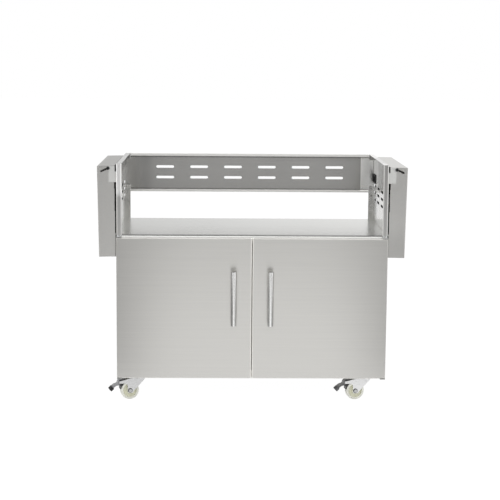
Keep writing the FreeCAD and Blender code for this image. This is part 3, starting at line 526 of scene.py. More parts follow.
@dataclass(frozen=True)
class PlatedSteel(Finish):
    """Bright zinc plate with a faint cloudy spangle."""

    tint: Triple = (0.92, 0.925, 0.93)
    roughness: float = 0.36
    spangle: float = 0.14
    spangle_waves: float = 320.0
    clouds: float = 0.15
    cloud_waves: float = 60.0
    relief: float = 0.04
    depth: float = 0.3 * MM

    def fill(self, graph: Graph) -> None:
        """Put the finish's nodes into its material's graph.

        Args:
            graph: The graph to fill.
        """
        spots = graph.node("ShaderNodeTexVoronoi", {},
                           {"Vector": graph.place(), "Scale": self.spangle_waves}, "Color")
        flake = graph.part(spots, Axis.X) - 0.5
        cloud = graph.noise(thrice(self.cloud_waves), detail=4.0)
        graph.surface({
            "Base Color": graph.scaled(self.tint, 1.0 + flake * self.spangle + cloud * self.clouds),
            "Metallic": 1.0, "Roughness": self.roughness + cloud * self.clouds,
            "Normal": graph.bump(cloud, self.relief, self.depth)})


@dataclass(frozen=True)
class Moulded(Finish):
    """Moulded plastic, rubber or paint with a fine surface texture."""

    tint: Triple
    roughness: float
    pore_waves: float = 900.0
    cloud_waves: float = 35.0
    rough_clouds: float = 0.12
    relief: float = 0.05
    depth: float = 0.3 * MM
    mottle: float = 0.10
    coat: float = 0.0

    def fill(self, graph: Graph) -> None:
        """Put the finish's nodes into its material's graph.

        Args:
            graph: The graph to fill.
        """
        pores = graph.noise(thrice(self.pore_waves))
        cloud = graph.noise(thrice(self.cloud_waves))
        graph.surface({
            "Base Color": graph.scaled(self.tint, 1.0 + pores * self.mottle + cloud * self.mottle),
            "Roughness": self.roughness + cloud * self.rough_clouds, "Coat Weight": self.coat,
            "Normal": graph.bump(pores, self.relief, self.depth)})


@dataclass(frozen=True)
class WheelNylon(Finish):
    """Cream nylon turned about an axle, with faint turning rings; its pale rim and darker, warmer web are
    partly the nylon's own tones and partly a painted highlight on the rim and painted shade on the web.
    """

    centre: Vector
    axle: Vector
    rim_radius: float = 27.0 * MM
    rim_flank: float = 0.6 * MM
    rim: Triple = (0.93, 0.93, 0.85)
    web: Triple = (0.80, 0.80, 0.64)
    rings: float = 0.08
    ring_tint: float = 0.3
    ring_pitch: float = 1.1 * MM
    ring_depth: float = 0.05 * MM
    clouds: float = 0.12
    cloud_waves: float = 40.0
    pore_waves: float = 500.0
    roughness: float = 0.40
    rough_clouds: float = 0.10
    coat: float = 0.12

    def fill(self, graph: Graph) -> None:
        """Put the finish's nodes into its material's graph.

        Args:
            graph: The graph to fill.
        """
        offset = graph.offset(self.centre)
        across = graph.dot(offset, self.axle)
        radius = (graph.dot(offset, offset) - across * across).at_least(0.0) ** 0.5
        ring = (radius * (2.0 * math.pi / self.ring_pitch)).sine()
        cloud = graph.noise(thrice(self.cloud_waves))
        pores = graph.noise(thrice(self.pore_waves), detail=2.0)
        # The rim's lighter tint is partly painted highlight, the web's darker tint partly painted shade.
        step = graph.rise(radius, self.rim_radius - self.rim_flank, self.rim_radius + self.rim_flank)
        gain = 1.0 + ring * (self.ring_tint * self.rings) + cloud * self.clouds + pores * self.rings
        graph.surface({
            "Base Color": graph.scaled(graph.mix(step, self.web, self.rim), gain),
            "Roughness": self.roughness + cloud * self.rough_clouds, "Coat Weight": self.coat,
            "Normal": graph.bump(ring, self.rings, self.ring_depth)})


@dataclass(frozen=True)
class PedalPaint(Finish):
    """Black paint on the pedal's crown, which also stands in for the shade under the cart, and a painted
    highlight of grey steel along the arm where its top side catches light.
    """

    pin: Vector
    trail: Vector
    lit_arm: float
    arm: Span = (10.0 * MM, 36.0 * MM)
    ragged: float = 4.0 * MM
    flank: float = 3.0 * MM
    paint: Triple = (0.022, 0.022, 0.024)
    steel: Triple = (0.42, 0.42, 0.43)
    shine: float = 0.8
    roughness: float = 0.34
    bare_rough: float = 0.12
    rough_clouds: float = 0.1
    coat: float = 0.25
    coat_loss: float = 0.2
    clouds: float = 0.2
    cloud_waves: float = 90.0
    mottle: float = 0.1
    pore_waves: float = 900.0
    relief: float = 0.03
    depth: float = 0.3 * MM

    def fill(self, graph: Graph) -> None:
        """Put the finish's nodes into its material's graph.

        Args:
            graph: The graph to fill.
        """
        reach = graph.dot(graph.offset(self.pin), self.trail)
        cloud = graph.noise(thrice(self.cloud_waves), detail=4.0)
        pores = graph.noise(thrice(self.pore_waves))
        # Painted highlight: grey steel along the arm, stronger on the left pedal.
        lit_arm = graph.band(reach + cloud * self.ragged, *self.arm, self.flank) * self.lit_arm
        tint = graph.mix(lit_arm, self.paint, self.steel)
        graph.surface({
            "Base Color": graph.scaled(tint, 1.0 + cloud * self.clouds + pores * self.mottle),
            "Metallic": lit_arm * self.shine,
            "Roughness": self.roughness + lit_arm * self.bare_rough + cloud * self.rough_clouds,
            "Coat Weight": self.coat - lit_arm * self.coat_loss,
            "Normal": graph.bump(pores, self.relief, self.depth)})


# Piece building
def new_piece(name: str, shape: bmesh.types.BMesh, body: str,
              material: bpy.types.Material) -> bpy.types.Object:
    """Make an object of a finished bmesh and hang it on a body.

    Args:
        name: The piece's name.
        shape: Its mesh, in the cart's frame; it is freed here.
        body: The body it moves with.
        material: Its finish.

    Returns:
        The object.
    """
    bmesh.ops.remove_doubles(shape, verts=shape.verts, dist=MERGE)
    bmesh.ops.recalc_face_normals(shape, faces=shape.faces)
    mesh = bpy.data.meshes.new(name)
    shape.to_mesh(mesh)
    shape.free()
    mesh.materials.append(material)
    for face in mesh.polygons:
        face.use_smooth = True
    mesh.set_sharp_from_angle(angle=SHARP)
    piece = bpy.data.objects.new(name, mesh)
    bpy.context.scene.collection.objects.link(piece)
    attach(piece, body)
    LOG.info("made %s", name)
    return piece


def spun(profile: list[Span], steps: int) -> bmesh.types.BMesh:
    """A round piece turned about Z.

    Args:
        profile: Radius and height of each point of its section.
        steps: Divisions of the turn.

    Returns:
        The mesh.
    """
    shape = bmesh.new()
    points = [shape.verts.new((radius, 0.0, height)) for radius, height in profile]
    edges = [shape.edges.new(pair) for pair in zip(points, points[1:])]
    bmesh.ops.spin(shape, geom=points + edges, cent=(0, 0, 0), axis=(0, 0, 1), dvec=(0, 0, 0),
                   angle=2 * math.pi, steps=steps, use_merge=True, use_duplicate=False)
    bmesh.ops.remove_doubles(shape, verts=shape.verts, dist=MERGE)
    return shape


def aim(direction: Vector) -> Matrix:
    """The turn that takes Z to a direction."""
    return direction.to_track_quat("Z", "Y").to_matrix().to_4x4()


def joined(make: Maker, places: list[Matrix]) -> bmesh.types.BMesh:
    """Several like shapes in one mesh.

    Args:
        make: Makes one of them.
        places: Takes each to its place.

    Returns:
        The mesh.
    """
    whole = bmesh.new()
    for place in places:
        one = make()
        bmesh.ops.transform(one, matrix=place, verts=one.verts)
        mesh = bpy.data.meshes.new("one")
        one.to_mesh(mesh)
        one.free()
        whole.from_mesh(mesh)
        bpy.data.meshes.remove(mesh)
    return whole


def of_kind(parts: list[Any], kind: type) -> list[Any]:
    """The vertices, edges or faces among an operator's results."""
    return [part for part in parts if isinstance(part, kind)]


def give_finish(material: bpy.types.Material, *nodes: str) -> None:
    """Give CAD nodes a finish.

    Args:
        material: The finish.
        nodes: The nodes' names.
    """
    for name in nodes:
        node = frame["nodes"][name]
        node.data.materials.clear()
        node.data.materials.append(material)
        LOG.info("dressed %s with %s", name, material.name)


def joint_of(body: str) -> tuple[Vector, Vector]:
    """Where the joint that moves a body sits.

    Args:
        body: The joint's child.

    Returns:
        A point on the joint's axis, and the axis.
    """
    joint = next(joint for joint in frame["joints"] if joint["child"] == body)
    return Vector(joint["pos_m"]), Vector(joint["axis"]).normalized()


@dataclass
class Fasteners:
    """Screws, rivets, bolt caps and washers, one shape of each for all their places.

    Profiles, drive, stem, hexagon and chamfer are shares of their piece's radius and height.
    """

    head_radius: float = 2.9 * MM
    head_height: float = 1.5 * MM
    head_profile: Profile = ((0.0, 0.0), (1.0, 0.0), (1.0, 0.45), (0.82, 0.85), (0.52, 1.0))
    head_steps: int = 18
    drive: float = 0.45
    drive_depth: float = 0.8 * MM
    rivet_radius: float = 4.0 * MM
    rivet_height: float = 1.2 * MM
    rivet_turns: tuple[float, ...] = (0.0, 15.0, 30.0, 45.0, 60.0)
    rivet_steps: int = 20
    stem: Span = (0.32, 0.6)
    cap_radius: float = 6.5 * MM
    cap_height: float = 1.4 * MM
    cap_profile: Profile = ((1.0, 0.0), (1.0, 0.35), (0.86, 0.8), (0.66, 1.0))
    cap_steps: int = 24
    hexagon: float = 0.42
    hexagon_depth: float = 0.8
    washer_hole: float = 6.9 * MM
    washer_radius: float = 9.3 * MM
    washer_height: float = 1.2 * MM
    washer_chamfer: float = 0.4
    washer_steps: int = 28

    def _section(self, profile: Profile, radius: float, height: float) -> list[Span]:
        """A profile at its real size.

        Args:
            profile: Shares of the radius and the height.
            radius: The piece's radius.
            height: The piece's height.

        Returns:
            Radius and height of each point.
        """
        return [(radius * across, height * up) for across, up in profile]

    def screw(self) -> bmesh.types.BMesh:
        """A pan head with a sunk round drive, standing on Z.

        Returns:
            The mesh.
        """
        radius, height = self.head_radius, self.head_height
        floor = height - self.drive_depth
        recess = [(radius * self.drive, floor), (0.0, floor)]
        return spun(self._section(self.head_profile, radius, height) + recess, self.head_steps)

    def rivet(self) -> bmesh.types.BMesh:
        """A low domed rivet head with its drawn stem, standing on Z.

        Returns:
            The mesh.
        """
        radius, height = self.rivet_radius, self.rivet_height
        dome = [(radius * math.cos(turn), height * math.sin(turn))
                for turn in (math.radians(degrees) for degrees in self.rivet_turns)]
        stem, floor = radius * self.stem[0], height * self.stem[1]
        return spun([(0.0, 0.0)] + dome + [(stem, height), (stem, floor), (0.0, floor)], self.rivet_steps)

    def socket_cap(self) -> bmesh.types.BMesh:
        """The crowned top of a bolt head with a sunk hexagon, standing on Z.

        Returns:
            The mesh.
        """
        radius, height = self.cap_radius, self.cap_height
        shape = spun(self._section(self.cap_profile, radius, height), self.cap_steps)
        ring = [edge for edge in shape.edges if all(abs(vert.co.z - height) < MERGE for vert in edge.verts)]
        made = bmesh.ops.create_circle(shape, segments=6, radius=radius * self.hexagon,
                                       matrix=Matrix.Translation((0.0, 0.0, height)))
        brim = list({edge for vert in made["verts"] for edge in vert.link_edges})
        bmesh.ops.bridge_loops(shape, edges=ring + brim)
        sunk = bmesh.ops.extrude_edge_only(shape, edges=brim)["geom"]
        bmesh.ops.translate(shape, vec=(0.0, 0.0, -self.hexagon_depth * height),
                            verts=of_kind(sunk, bmesh.types.BMVert))
        bmesh.ops.edgeloop_fill(shape, edges=of_kind(sunk, bmesh.types.BMEdge))
        return shape

    def washer(self) -> bmesh.types.BMesh:
        """A flat ring with a chamfered brim, lying on Z.

        Returns:
            The mesh.
        """
        hole, brim, height = self.washer_hole, self.washer_radius, self.washer_height
        chamfer = height * self.washer_chamfer
        return spun([(hole, 0.0), (brim, 0.0), (brim, height - chamfer), (brim - chamfer, height),
                     (hole, height), (hole, 0.0)], self.washer_steps)


# Sub-assemblies
class Assembly(ABC):
    """A group of pieces that is dressed first and then gets its small hardware."""

    @abstractmethod
    def dress(self) -> None:
        """Give the group's CAD nodes their finishes."""

    def build(self) -> None:
        """Add the group's small hardware, of which it may have none."""


@dataclass
class Frame(Assembly):
    """Side panels, rails, deck, floor and back.

    Beside the sheet's own sizes, the fields say where light and shade are painted onto its steel, lighter or
    darker. A fade says how
    gently that ends: a pair of fades is along Y and Z.
    """

    lip: float = 13.0 * MM
    sheet: float = 1.5 * MM
    fold: float = 4.0 * MM
    skin: float = 1.0 * MM
    thin: Triple = thrice(0.4 * MM)
    rail_skin: float = 0.9 * MM
    rail_inset: float = 25.0 * MM
    rail_dim_end: float = -0.42
    rail_dim_fade: float = 20.0 * MM
    rail_lit_start: float = 0.469
    rail_top_line: Span = (16.0 * MM, 10.0 * MM)
    rail_low_lip_highlight: float = 9.0 * MM
    rail_low_line: Span = (10.0 * MM, 14.0 * MM)
    deck_line: float = 18.0 * MM
    deck_line_fade: float = 3.0 * MM
    bay: Span = (0.81, 1.0)
    post_lit: Span = (0.82, 1.0)
    post_fade: float = 14.0 * MM
    back_end: float = 0.5
    left_lit_start: float = -0.22
    left_lit_fade: Span = (8.0 * MM, 30.0 * MM)
    left_shade_drop: float = 56.0 * MM
    left_shade_fade: float = 12.0 * MM
    left_top: float = 0.8 * MM
    right_shade: Span = (-0.18, 0.12)
    right_shade_fade: Span = (40.0 * MM, 30.0 * MM)
    right_lit: tuple[Span, Span] = ((0.09, 0.29), (0.70, 0.82))
    right_lit_fade: Span = (20.0 * MM, 25.0 * MM)

    def dress(self) -> None:
        """Give each panel its own run of grain, with painted light and shade on its edges and faces."""
        self._dress_rear_rail()
        for side in Side:
            self._dress_panel(side)
        self._dress_deck()
        self._dress_front_rail()
        give_finish(BrushedSteel("cupboard_steel").material(), "floor_panel", "back_panel")
        give_finish(Moulded("grommet_rubber", thrice(0.02), 0.75).material(), "hose_grommet")

    def _dress_rear_rail(self) -> None:
        """The slotted rail, with painted light and shade: highlights on its lips and on the web just above
        the low lip, shade at its left end, a highlight at its right end and two shadow lines.
        """
        low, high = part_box("rear_rail")
        web = (high.y - self.fold, high.y - self.rail_skin)
        top_line = (high.z - self.rail_top_line[0], high.z - self.rail_top_line[1])
        low_line = (low.z + self.rail_low_line[0], low.z + self.rail_low_line[1])
        # Painted highlight on both lips, painted shade at the left end, painted highlight at the right end,
        # painted shadow lines under the top lip and above the low lip, and a painted highlight on the web
        # above the low lip.
        zones = (
            Zone(1.60, y=(low.y - self.lip, low.y + self.fold), roughness=0.30, satin=0.42),
            Zone(0.84, x=(low.x + self.rail_inset, self.rail_dim_end), y=web,
                 soft=(self.rail_dim_fade, *self.thin[1:])),
            Zone(1.94, x=(self.rail_lit_start, high.x + self.lip), y=web, satin=0.10, soft=self.thin),
            Zone(0.55, y=web, z=top_line, soft=self.thin),
            Zone(1.75, y=web, z=(low.z, low.z + self.rail_low_lip_highlight), roughness=0.30, satin=0.50,
                 soft=self.thin),
            Zone(0.55, y=web, z=low_line, soft=self.thin))
        # The rail's tint is darker than the other steel: painted shade for its recessed web.
        steel = BrushedSteel("rail_steel", (0.535, 0.53, 0.515), roughness=0.24, anisotropy=0.9, zones=zones)
        give_finish(steel.material(), "rear_rail")

    def _dress_panel(self, side: Side) -> None:
        """One side panel, with painted highlights on the folds of its front post and painted light and shade
        on its inner face.

        Args:
            side: The panel's side.
        """
        node = f"{side.word}_side_panel"
        low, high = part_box(node)
        outer, inner = side.span(low.x, high.x)
        front = (low.y - self.lip, low.y + self.sheet)
        inside = side.span(outer + self.sheet / 2, inner)
        # Painted highlights on the post's two folds, and a slightly lighter inner face.
        folds = (
            Zone(1.25, x=side.span(outer - self.lip, outer + self.fold), y=front, roughness=0.20, satin=0.15),
            Zone(1.20, x=side.span(inner - self.fold, inner + self.lip), y=front, roughness=0.20, satin=0.15),
            Zone(1.05, x=inside, y=(front[1], high.y), roughness=-0.12))
        painted_light = self._left_painted_light(inside, front, high.z) if side is Side.LEFT else self._right_painted_light(inside)
        steel = BrushedSteel(f"{side.word}_panel_steel", (0.77, 0.765, 0.745), Axis.Z, anisotropy=0.0,
                             zones=folds + painted_light)
        give_finish(steel.material(), node)

    def _left_painted_light(self, inside: Span, front: Span, top: float) -> tuple[Zone, ...]:
        """Painted light and shade on the left panel: a lit post and inner face, and painted shadow under the
        top flange and on its top.

        Args:
            inside: Where its inner face lies along X.
            front: Where its front flange lies along Y.
            top: The height of its top flange.

        Returns:
            The zones.
        """
        edge = self.thin[0]
        behind = (front[1], self.back_end)
        return (Zone(1.75, y=front, z=self.post_lit, satin=0.18, soft=(0.0, ZONE_EDGE, self.post_fade)),
                Zone(1.60, x=inside, y=(self.left_lit_start, self.back_end), z=self.bay, satin=0.12,
                     soft=(edge, *self.left_lit_fade)),
                Zone(0.40, x=inside, y=behind, z=(top - self.left_shade_drop, top - self.skin),
                     soft=(edge, ZONE_EDGE, self.left_shade_fade)),
                Zone(0.55, y=behind, z=(top - self.left_top, top + self.lip)))

    def _right_painted_light(self, inside: Span) -> tuple[Zone, ...]:
        """Painted light and shade on the right panel: painted shade on the front half of its inner face and a
        painted highlight behind it.

        Args:
            inside: Where its inner face lies along X.

        Returns:
            The zones.
        """
        edge = self.thin[0]
        along, up = self.right_lit
        return (Zone(0.66, x=inside, y=self.right_shade, z=self.bay, soft=(edge, *self.right_shade_fade)),
                Zone(1.70, x=inside, y=along, z=up, soft=(edge, *self.right_lit_fade)))

    def _dress_deck(self) -> None:
        """The deck, with a line of painted shade behind its front edge and a painted highlight on its satin
        front flange.
        """
        low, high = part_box("grill_deck")
        before, face = low.y - self.lip, high.z - self.skin
        # Painted shade on the top just behind the front edge, and a painted highlight on the front flange.
        zones = (
            Zone(0.40, y=(before, low.y + self.deck_line), z=(face, high.z + self.lip),
                 soft=(ZONE_EDGE, self.deck_line_fade, ZONE_EDGE)),
            Zone(1.40, y=(before, low.y + self.skin), z=(low.z, face), roughness=0.3, satin=0.9))
        steel = BrushedSteel("deck_steel", (0.68, 0.68, 0.66), roughness=0.26, anisotropy=0.0, zones=zones)
        give_finish(steel.material(), "grill_deck")

    def _dress_front_rail(self) -> None:
        """The rail under the deck's edge, in pale satin all over; its near-white tint is a painted highlight.
        """
        low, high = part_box("front_rail")
        zones = (Zone(1.0, z=(low.z - self.lip, high.z + self.lip), satin=0.60),)
        steel = BrushedSteel("front_rail_steel", (0.97, 0.97, 0.95), roughness=0.60, anisotropy=0.0,
                             zones=zones)
        give_finish(steel.material(), "front_rail")


@dataclass
class Doors(Assembly):
    """Both doors with handles, hinges and catches."""

    fasteners: Fasteners
    plate: bpy.types.Material
    crown: float = 1.0 * MM
    split: float = 5.0 * MM
    leaf_sheet: float = 2.0 * MM
    leaf_middle: float = 3.0 * MM
    screw_spread: float = 5.5 * MM

    def dress(self) -> None:
        """Dress the skins, liners, bars and hinge pieces."""
        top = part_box("left_door_skin")[1].z
        # The second zone is a painted highlight along the doors' meeting edges.
        skin = BrushedSteel("door_steel", zones=(
            Zone(1.0, z=(top - self.crown, top + self.crown), roughness=0.25, satin=0.3),
            Zone(1.25, x=(-self.split, self.split), roughness=0.35, satin=0.5))).material()
        # The bars' near-black edge tint is painted shade on their flanks.
        bar = BrushedSteel("bar_steel", (0.94, 0.94, 0.925), Axis.Z, roughness=0.20, anisotropy=0.5, turn=0.0,
                           streaks=0.04, edge=0.05).material()
        leaf = BrushedSteel("hinge_steel", (0.70, 0.70, 0.69), roughness=0.40, anisotropy=0.0).material()
        nylon = Moulded("bush_nylon", thrice(0.05), 0.5).material()
        give_finish(nylon, "door_catches")
        for word in (side.word for side in Side):
            give_finish(skin, f"{word}_door_skin", f"{word}_door_liner")
            give_finish(bar, f"{word}_handle_bar", f"{word}_handle_posts")
            give_finish(leaf, f"{word}_hinge_brackets")
            give_finish(nylon, f"{word}_hinge_bushes")
            give_finish(self.plate, f"{word}_hinge_pins", f"{word}_handle_screws", f"{word}_catch_strike")

    def build(self) -> None:
        """Add the screws of the upper hinge brackets, two through each leaf into the post."""
        ahead = aim(Vector((0, -1, 0)))
        for word in (side.word for side in Side):
            low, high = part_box(f"{word}_hinge_brackets")
            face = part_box(f"{word}_side_panel")[0].y - self.leaf_sheet
            middle = (low.x + high.x) / 2
            screws = [Matrix.Translation((middle + shift, face, high.z - self.leaf_middle)) @ ahead
                      for shift in (-self.screw_spread, self.screw_spread)]
            new_piece(f"{word}_hinge_screws", joined(self.fasteners.screw, screws), "cart",
                      self.plate)


@dataclass
class Shelves(Assembly):
    """Both folding shelves with their brackets, bolts and pads.

    A pair of values is for the left and the right shelf. The rim's steps follow the tray's lean: how far
    each reaches in from the tray's inner side, and how far below the top it ends.
    """

    fasteners: Fasteners
    plate: bpy.types.Material
    black: bpy.types.Material
    bracket_sheet: float = 3.0 * MM
    rivet_spots: tuple[Span, ...] = ((18.0 * MM, 13.0 * MM), (35.0 * MM, 28.0 * MM))
    top_tones: Span = (0.52, 0.74)
    top_skin: float = 1.5 * MM
    foot_tones: Span = (1.0, 0.85)
    foot: Span = (0.4, 0.66)
    foot_fade: float = 60.0 * MM
    rear_end: Span = (2.2 * MM, 0.6 * MM)
    rim_shade: float = 0.05
    rim_past: float = 20.0 * MM
    rim_height: float = 87.0 * MM
    rim_steps: tuple[Span, ...] = ((7.4 * MM, 87.0 * MM), (5.9 * MM, 174.0 * MM), (4.4 * MM, 261.0 * MM),
                                   (2.9 * MM, 353.0 * MM))

    def dress(self) -> None:
        """Dress trays, brackets, bolts and pads."""
        bracket = BrushedSteel("bracket_steel", (0.92, 0.92, 0.90), roughness=0.6, anisotropy=0.0).material()
        rubber = Moulded("pad_rubber", thrice(0.03), 0.7).material()
        for side in Side:
            word = side.word
            give_finish(self._tray_steel(side).material(), f"{word}_shelf_tray", f"{word}_shelf_stiffener")
            give_finish(bracket, f"{word}_shelf_brackets")
            give_finish(self.black, f"{word}_shelf_pivots")
            give_finish(rubber, f"{word}_shelf_stops")

    def _tray_steel(self, side: Side) -> BrushedSteel:
        """The finish of one tray: painted shade on its top, darker on the left, and a near-black rim and rear
        end on its inner side, painted shade for the gap beside the panel; the right tray is also darker
        towards the bottom.

        Args:
            side: The side of the cart.

        Returns:
            The finish.
        """
        low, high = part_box(f"{side.word}_shelf_tray")
        inner = side.span(low.x, high.x)[1]
        rear = (high.y - self.rear_end[0], high.y - self.rear_end[1])
        # Painted shade on the top and on the rear end; the right tray darker towards the bottom.
        faces = (
            Zone(side.pick(self.top_tones), z=(high.z - self.top_skin, high.z + self.rim_past)),
            Zone(side.pick(self.foot_tones), z=self.foot, soft=(0.0, 0.0, self.foot_fade)),
            Zone(self.rim_shade, y=rear))
        # The near-black rim is painted shade in the gap beside the panel.
        rims = tuple(Zone(self.rim_shade, x=side.span(inner - reach, inner + self.rim_past),
                          z=(high.z - fall, high.z - (fall - self.rim_height)))
                     for reach, fall in self.rim_steps)
        return BrushedSteel(f"{side.word}_shelf_steel", (0.88, 0.87, 0.84), Axis.Y, roughness=0.36,
                            anisotropy=0.0, zones=faces + rims)

    def build(self) -> None:
        """Add the rivets of the brackets and the crowned heads of the pivot bolts."""
        for side in Side:
            word = side.word
            low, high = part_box(f"{word}_shelf_brackets")
            face = side.pick(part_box(f"{word}_side_panel")).x + side.value * self.bracket_sheet
            outward = aim(Vector((side.value, 0, 0)))
            rivets = [Matrix.Translation((face, end + inward * along, low.z + rise)) @ outward
                      for end, inward in ((low.y, 1), (high.y, -1)) for along, rise in self.rivet_spots]
            new_piece(f"{word}_bracket_rivets", joined(self.fasteners.rivet, rivets), "cart",
                      self.plate)
            low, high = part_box(f"{word}_shelf_pivots")
            middle = (low + high) / 2
            heads = [Matrix.Translation((middle.x, end, middle.z)) @ aim(Vector((0, toward, 0)))
                     for end, toward in ((low.y, -1), (high.y, 1))]
            new_piece(f"{word}_pivot_caps", joined(self.fasteners.socket_cap, heads), "cart",
                      self.black)


@dataclass
class Casters(Assembly):
    """Four casters; the front ones have a pedal with a rubber toe.

    A pair of tones is for the left and the right side; the fork, toe and arm tones are lit and shaded copies
    of one finish, painted light and shade. The toe's outline is in millimetres, along and up, and each rib is
    followed by a groove that is measured back from the rib's crest.
    """

    fasteners: Fasteners
    plate: bpy.types.Material
    fork_reach: float = 18.0 * MM
    fork_light_and_shade: Span = (0.79, 0.99)
    axle_tone: float = 0.62
    arm_painted_light: Span = (0.85, 0.35)
    toe_light_and_shade: Span = (0.018, 0.12)
    toe_blue: float = 1.05
    toe_start: Span = (39.0 * MM, -23.65 * MM)
    toe_slope: float = -0.781
    toe_width: float = 30.6 * MM
    toe_bevel: float = 0.35 * MM
    toe_sole: tuple[Span, ...] = ((-5.0, -6.3), (8.4, -6.0), (10.0, -4.4), (10.0, 4.6), (9.2, 6.4))
    toe_heel: Span = (-5.0, 5.5)
    toe_ribs: int = 4
    rib_pitch: float = 3.5
    rib_groove: tuple[Span, ...] = ((1.7, 6.4), (2.0, 5.5), (3.2, 5.5), (3.5, 6.4))

    def dress(self) -> None:
        """Dress plates, forks, axles, wheels and pedals."""
        axles = PlatedSteel("axle_zinc", thrice(self.axle_tone)).material()
        # The right fork's lighter zinc is painted light, the left's darker zinc painted shade.
        forks = [PlatedSteel(f"{side.word}_fork_zinc", thrice(side.pick(self.fork_light_and_shade))).material()
                 for side in Side]
        give_finish(self.plate, "caster_bolts")
        for corner in Corner:
            word = corner.value
            centre, axle = joint_of(f"{word}_wheel")
            give_finish(self.plate, f"{word}_caster_plate")
            give_finish(corner.side.pick(forks), f"{word}_caster_fork")
            give_finish(axles, f"{word}_caster_axle")
            give_finish(WheelNylon(f"{word}_wheel_nylon", centre, axle).material(), f"{word}_caster_wheel")
            if corner.braked:
                pin = joint_of(f"{word}_pedal")[0]
                # How much painted highlight the arm gets on this side.
                arm_light = corner.side.pick(self.arm_painted_light)
                paint = PedalPaint(f"{word}_pedal_paint", pin, self._trail(word), arm_light)
                give_finish(paint.material(), f"{word}_brake_pedal")
                give_finish(self.plate, f"{word}_brake_pin")

    def build(self) -> None:
        """Add the pedals' rubber toes and the washers of the axles."""
        # The right toe's lighter rubber is painted light.
        rubbers = [Moulded(f"{side.word}_toe_rubber", (tone, tone, tone * self.toe_blue), 0.65).material()
                   for side, tone in zip(Side, self.toe_light_and_shade)]
        # Near-black washers: black oxide that also stands in for the shade ring round each axle head.
        oxide_and_shade = Moulded("washer_oxide_and_shade", (0.06, 0.06, 0.062), 0.45, relief=0.03).material()
        for corner in Corner:
            word = corner.value
            if corner.braked:
                new_piece(f"{word}_toe_cap", joined(self.toe_cap, [self._toe_place(word)]), f"{word}_pedal",
                          corner.side.pick(rubbers))
            centre, axle = joint_of(f"{word}_wheel")
            rings = [Matrix.Translation(centre + axle * self.fork_reach * end) @ aim(axle * end)
                     for end in (-1, 1)]
            new_piece(f"{word}_axle_washers", joined(self.fasteners.washer, rings), f"{word}_swivel",
                      oxide_and_shade)

    def _trail(self, word: str) -> Vector:
        """The level direction from a caster's swivel to its axle.

        Args:
            word: The caster's corner.

        Returns:
            The direction, one metre long.
        """
        reach = joint_of(f"{word}_wheel")[0] - joint_of(f"{word}_swivel")[0]
        return Vector((reach.x, reach.y, 0.0)).normalized()

    def _toe_place(self, word: str) -> Matrix:
        """Where a pedal's toe is and how it slopes.

        Args:
            word: The caster's corner.

        Returns:
            What takes the cap to its place.
        """
        pin, across = joint_of(f"{word}_pedal")
        trail = self._trail(word)
        along = trail * math.cos(self.toe_slope) + UP * math.sin(self.toe_slope)
        over = UP * math.cos(self.toe_slope) - trail * math.sin(self.toe_slope)
        place = Matrix((along, across, over)).transposed().to_4x4()
        place.translation = pin + trail * self.toe_start[0] + UP * self.toe_start[1]
        return place

    def toe_cap(self) -> bmesh.types.BMesh:
        """A ribbed rubber cap, lying along X with its ribs up and its width along Y.

        Returns:
            The mesh.
        """
        outline = list(self.toe_sole)
        for rib in range(self.toe_ribs):
            crest = self.toe_sole[-1][0] - self.rib_pitch * rib
            outline += [(crest - back, up) for back, up in self.rib_groove]
        outline = outline[:-2] + [self.toe_heel]
        shape = bmesh.new()
        section = shape.faces.new([shape.verts.new((along * MM, -self.toe_width / 2, up * MM))
                                   for along, up in outline])
        swept = bmesh.ops.extrude_face_region(shape, geom=[section], use_keep_orig=True)["geom"]
        bmesh.ops.translate(shape, vec=(0.0, self.toe_width, 0.0), verts=of_kind(swept, bmesh.types.BMVert))
        brims = [edge for edge in shape.edges if abs(edge.verts[0].co.y - edge.verts[1].co.y) < MERGE]
        bmesh.ops.bevel(shape, geom=brims, offset=self.toe_bevel, offset_type="OFFSET", segments=2,
                        profile=0.5, affect="EDGES", material=-1, clamp_overlap=True)
        return shape


# Studio
@dataclass(frozen=True)
class Lamp:
    """A soft rectangular lamp that the steel doesn't mirror."""

    name: str
    place: Triple
    size: Span
    watts: float
    target: Triple = (0.0, 0.0, 0.5)

    def hang(self) -> None:
        """Make the lamp and point it at its target."""
        data = bpy.data.lights.new(self.name, "AREA")
        data.shape = "RECTANGLE"
        data.size, data.size_y = self.size
        data.energy = self.watts
        lamp = bpy.data.objects.new(self.name, data)
        lamp.visible_glossy = False
        place = Vector(self.place)
        turn = (Vector(self.target) - place).to_track_quat("-Z", "Y").to_matrix().to_4x4()
        lamp.matrix_world = Matrix.Translation(place) @ turn
        bpy.context.scene.collection.objects.link(lamp)


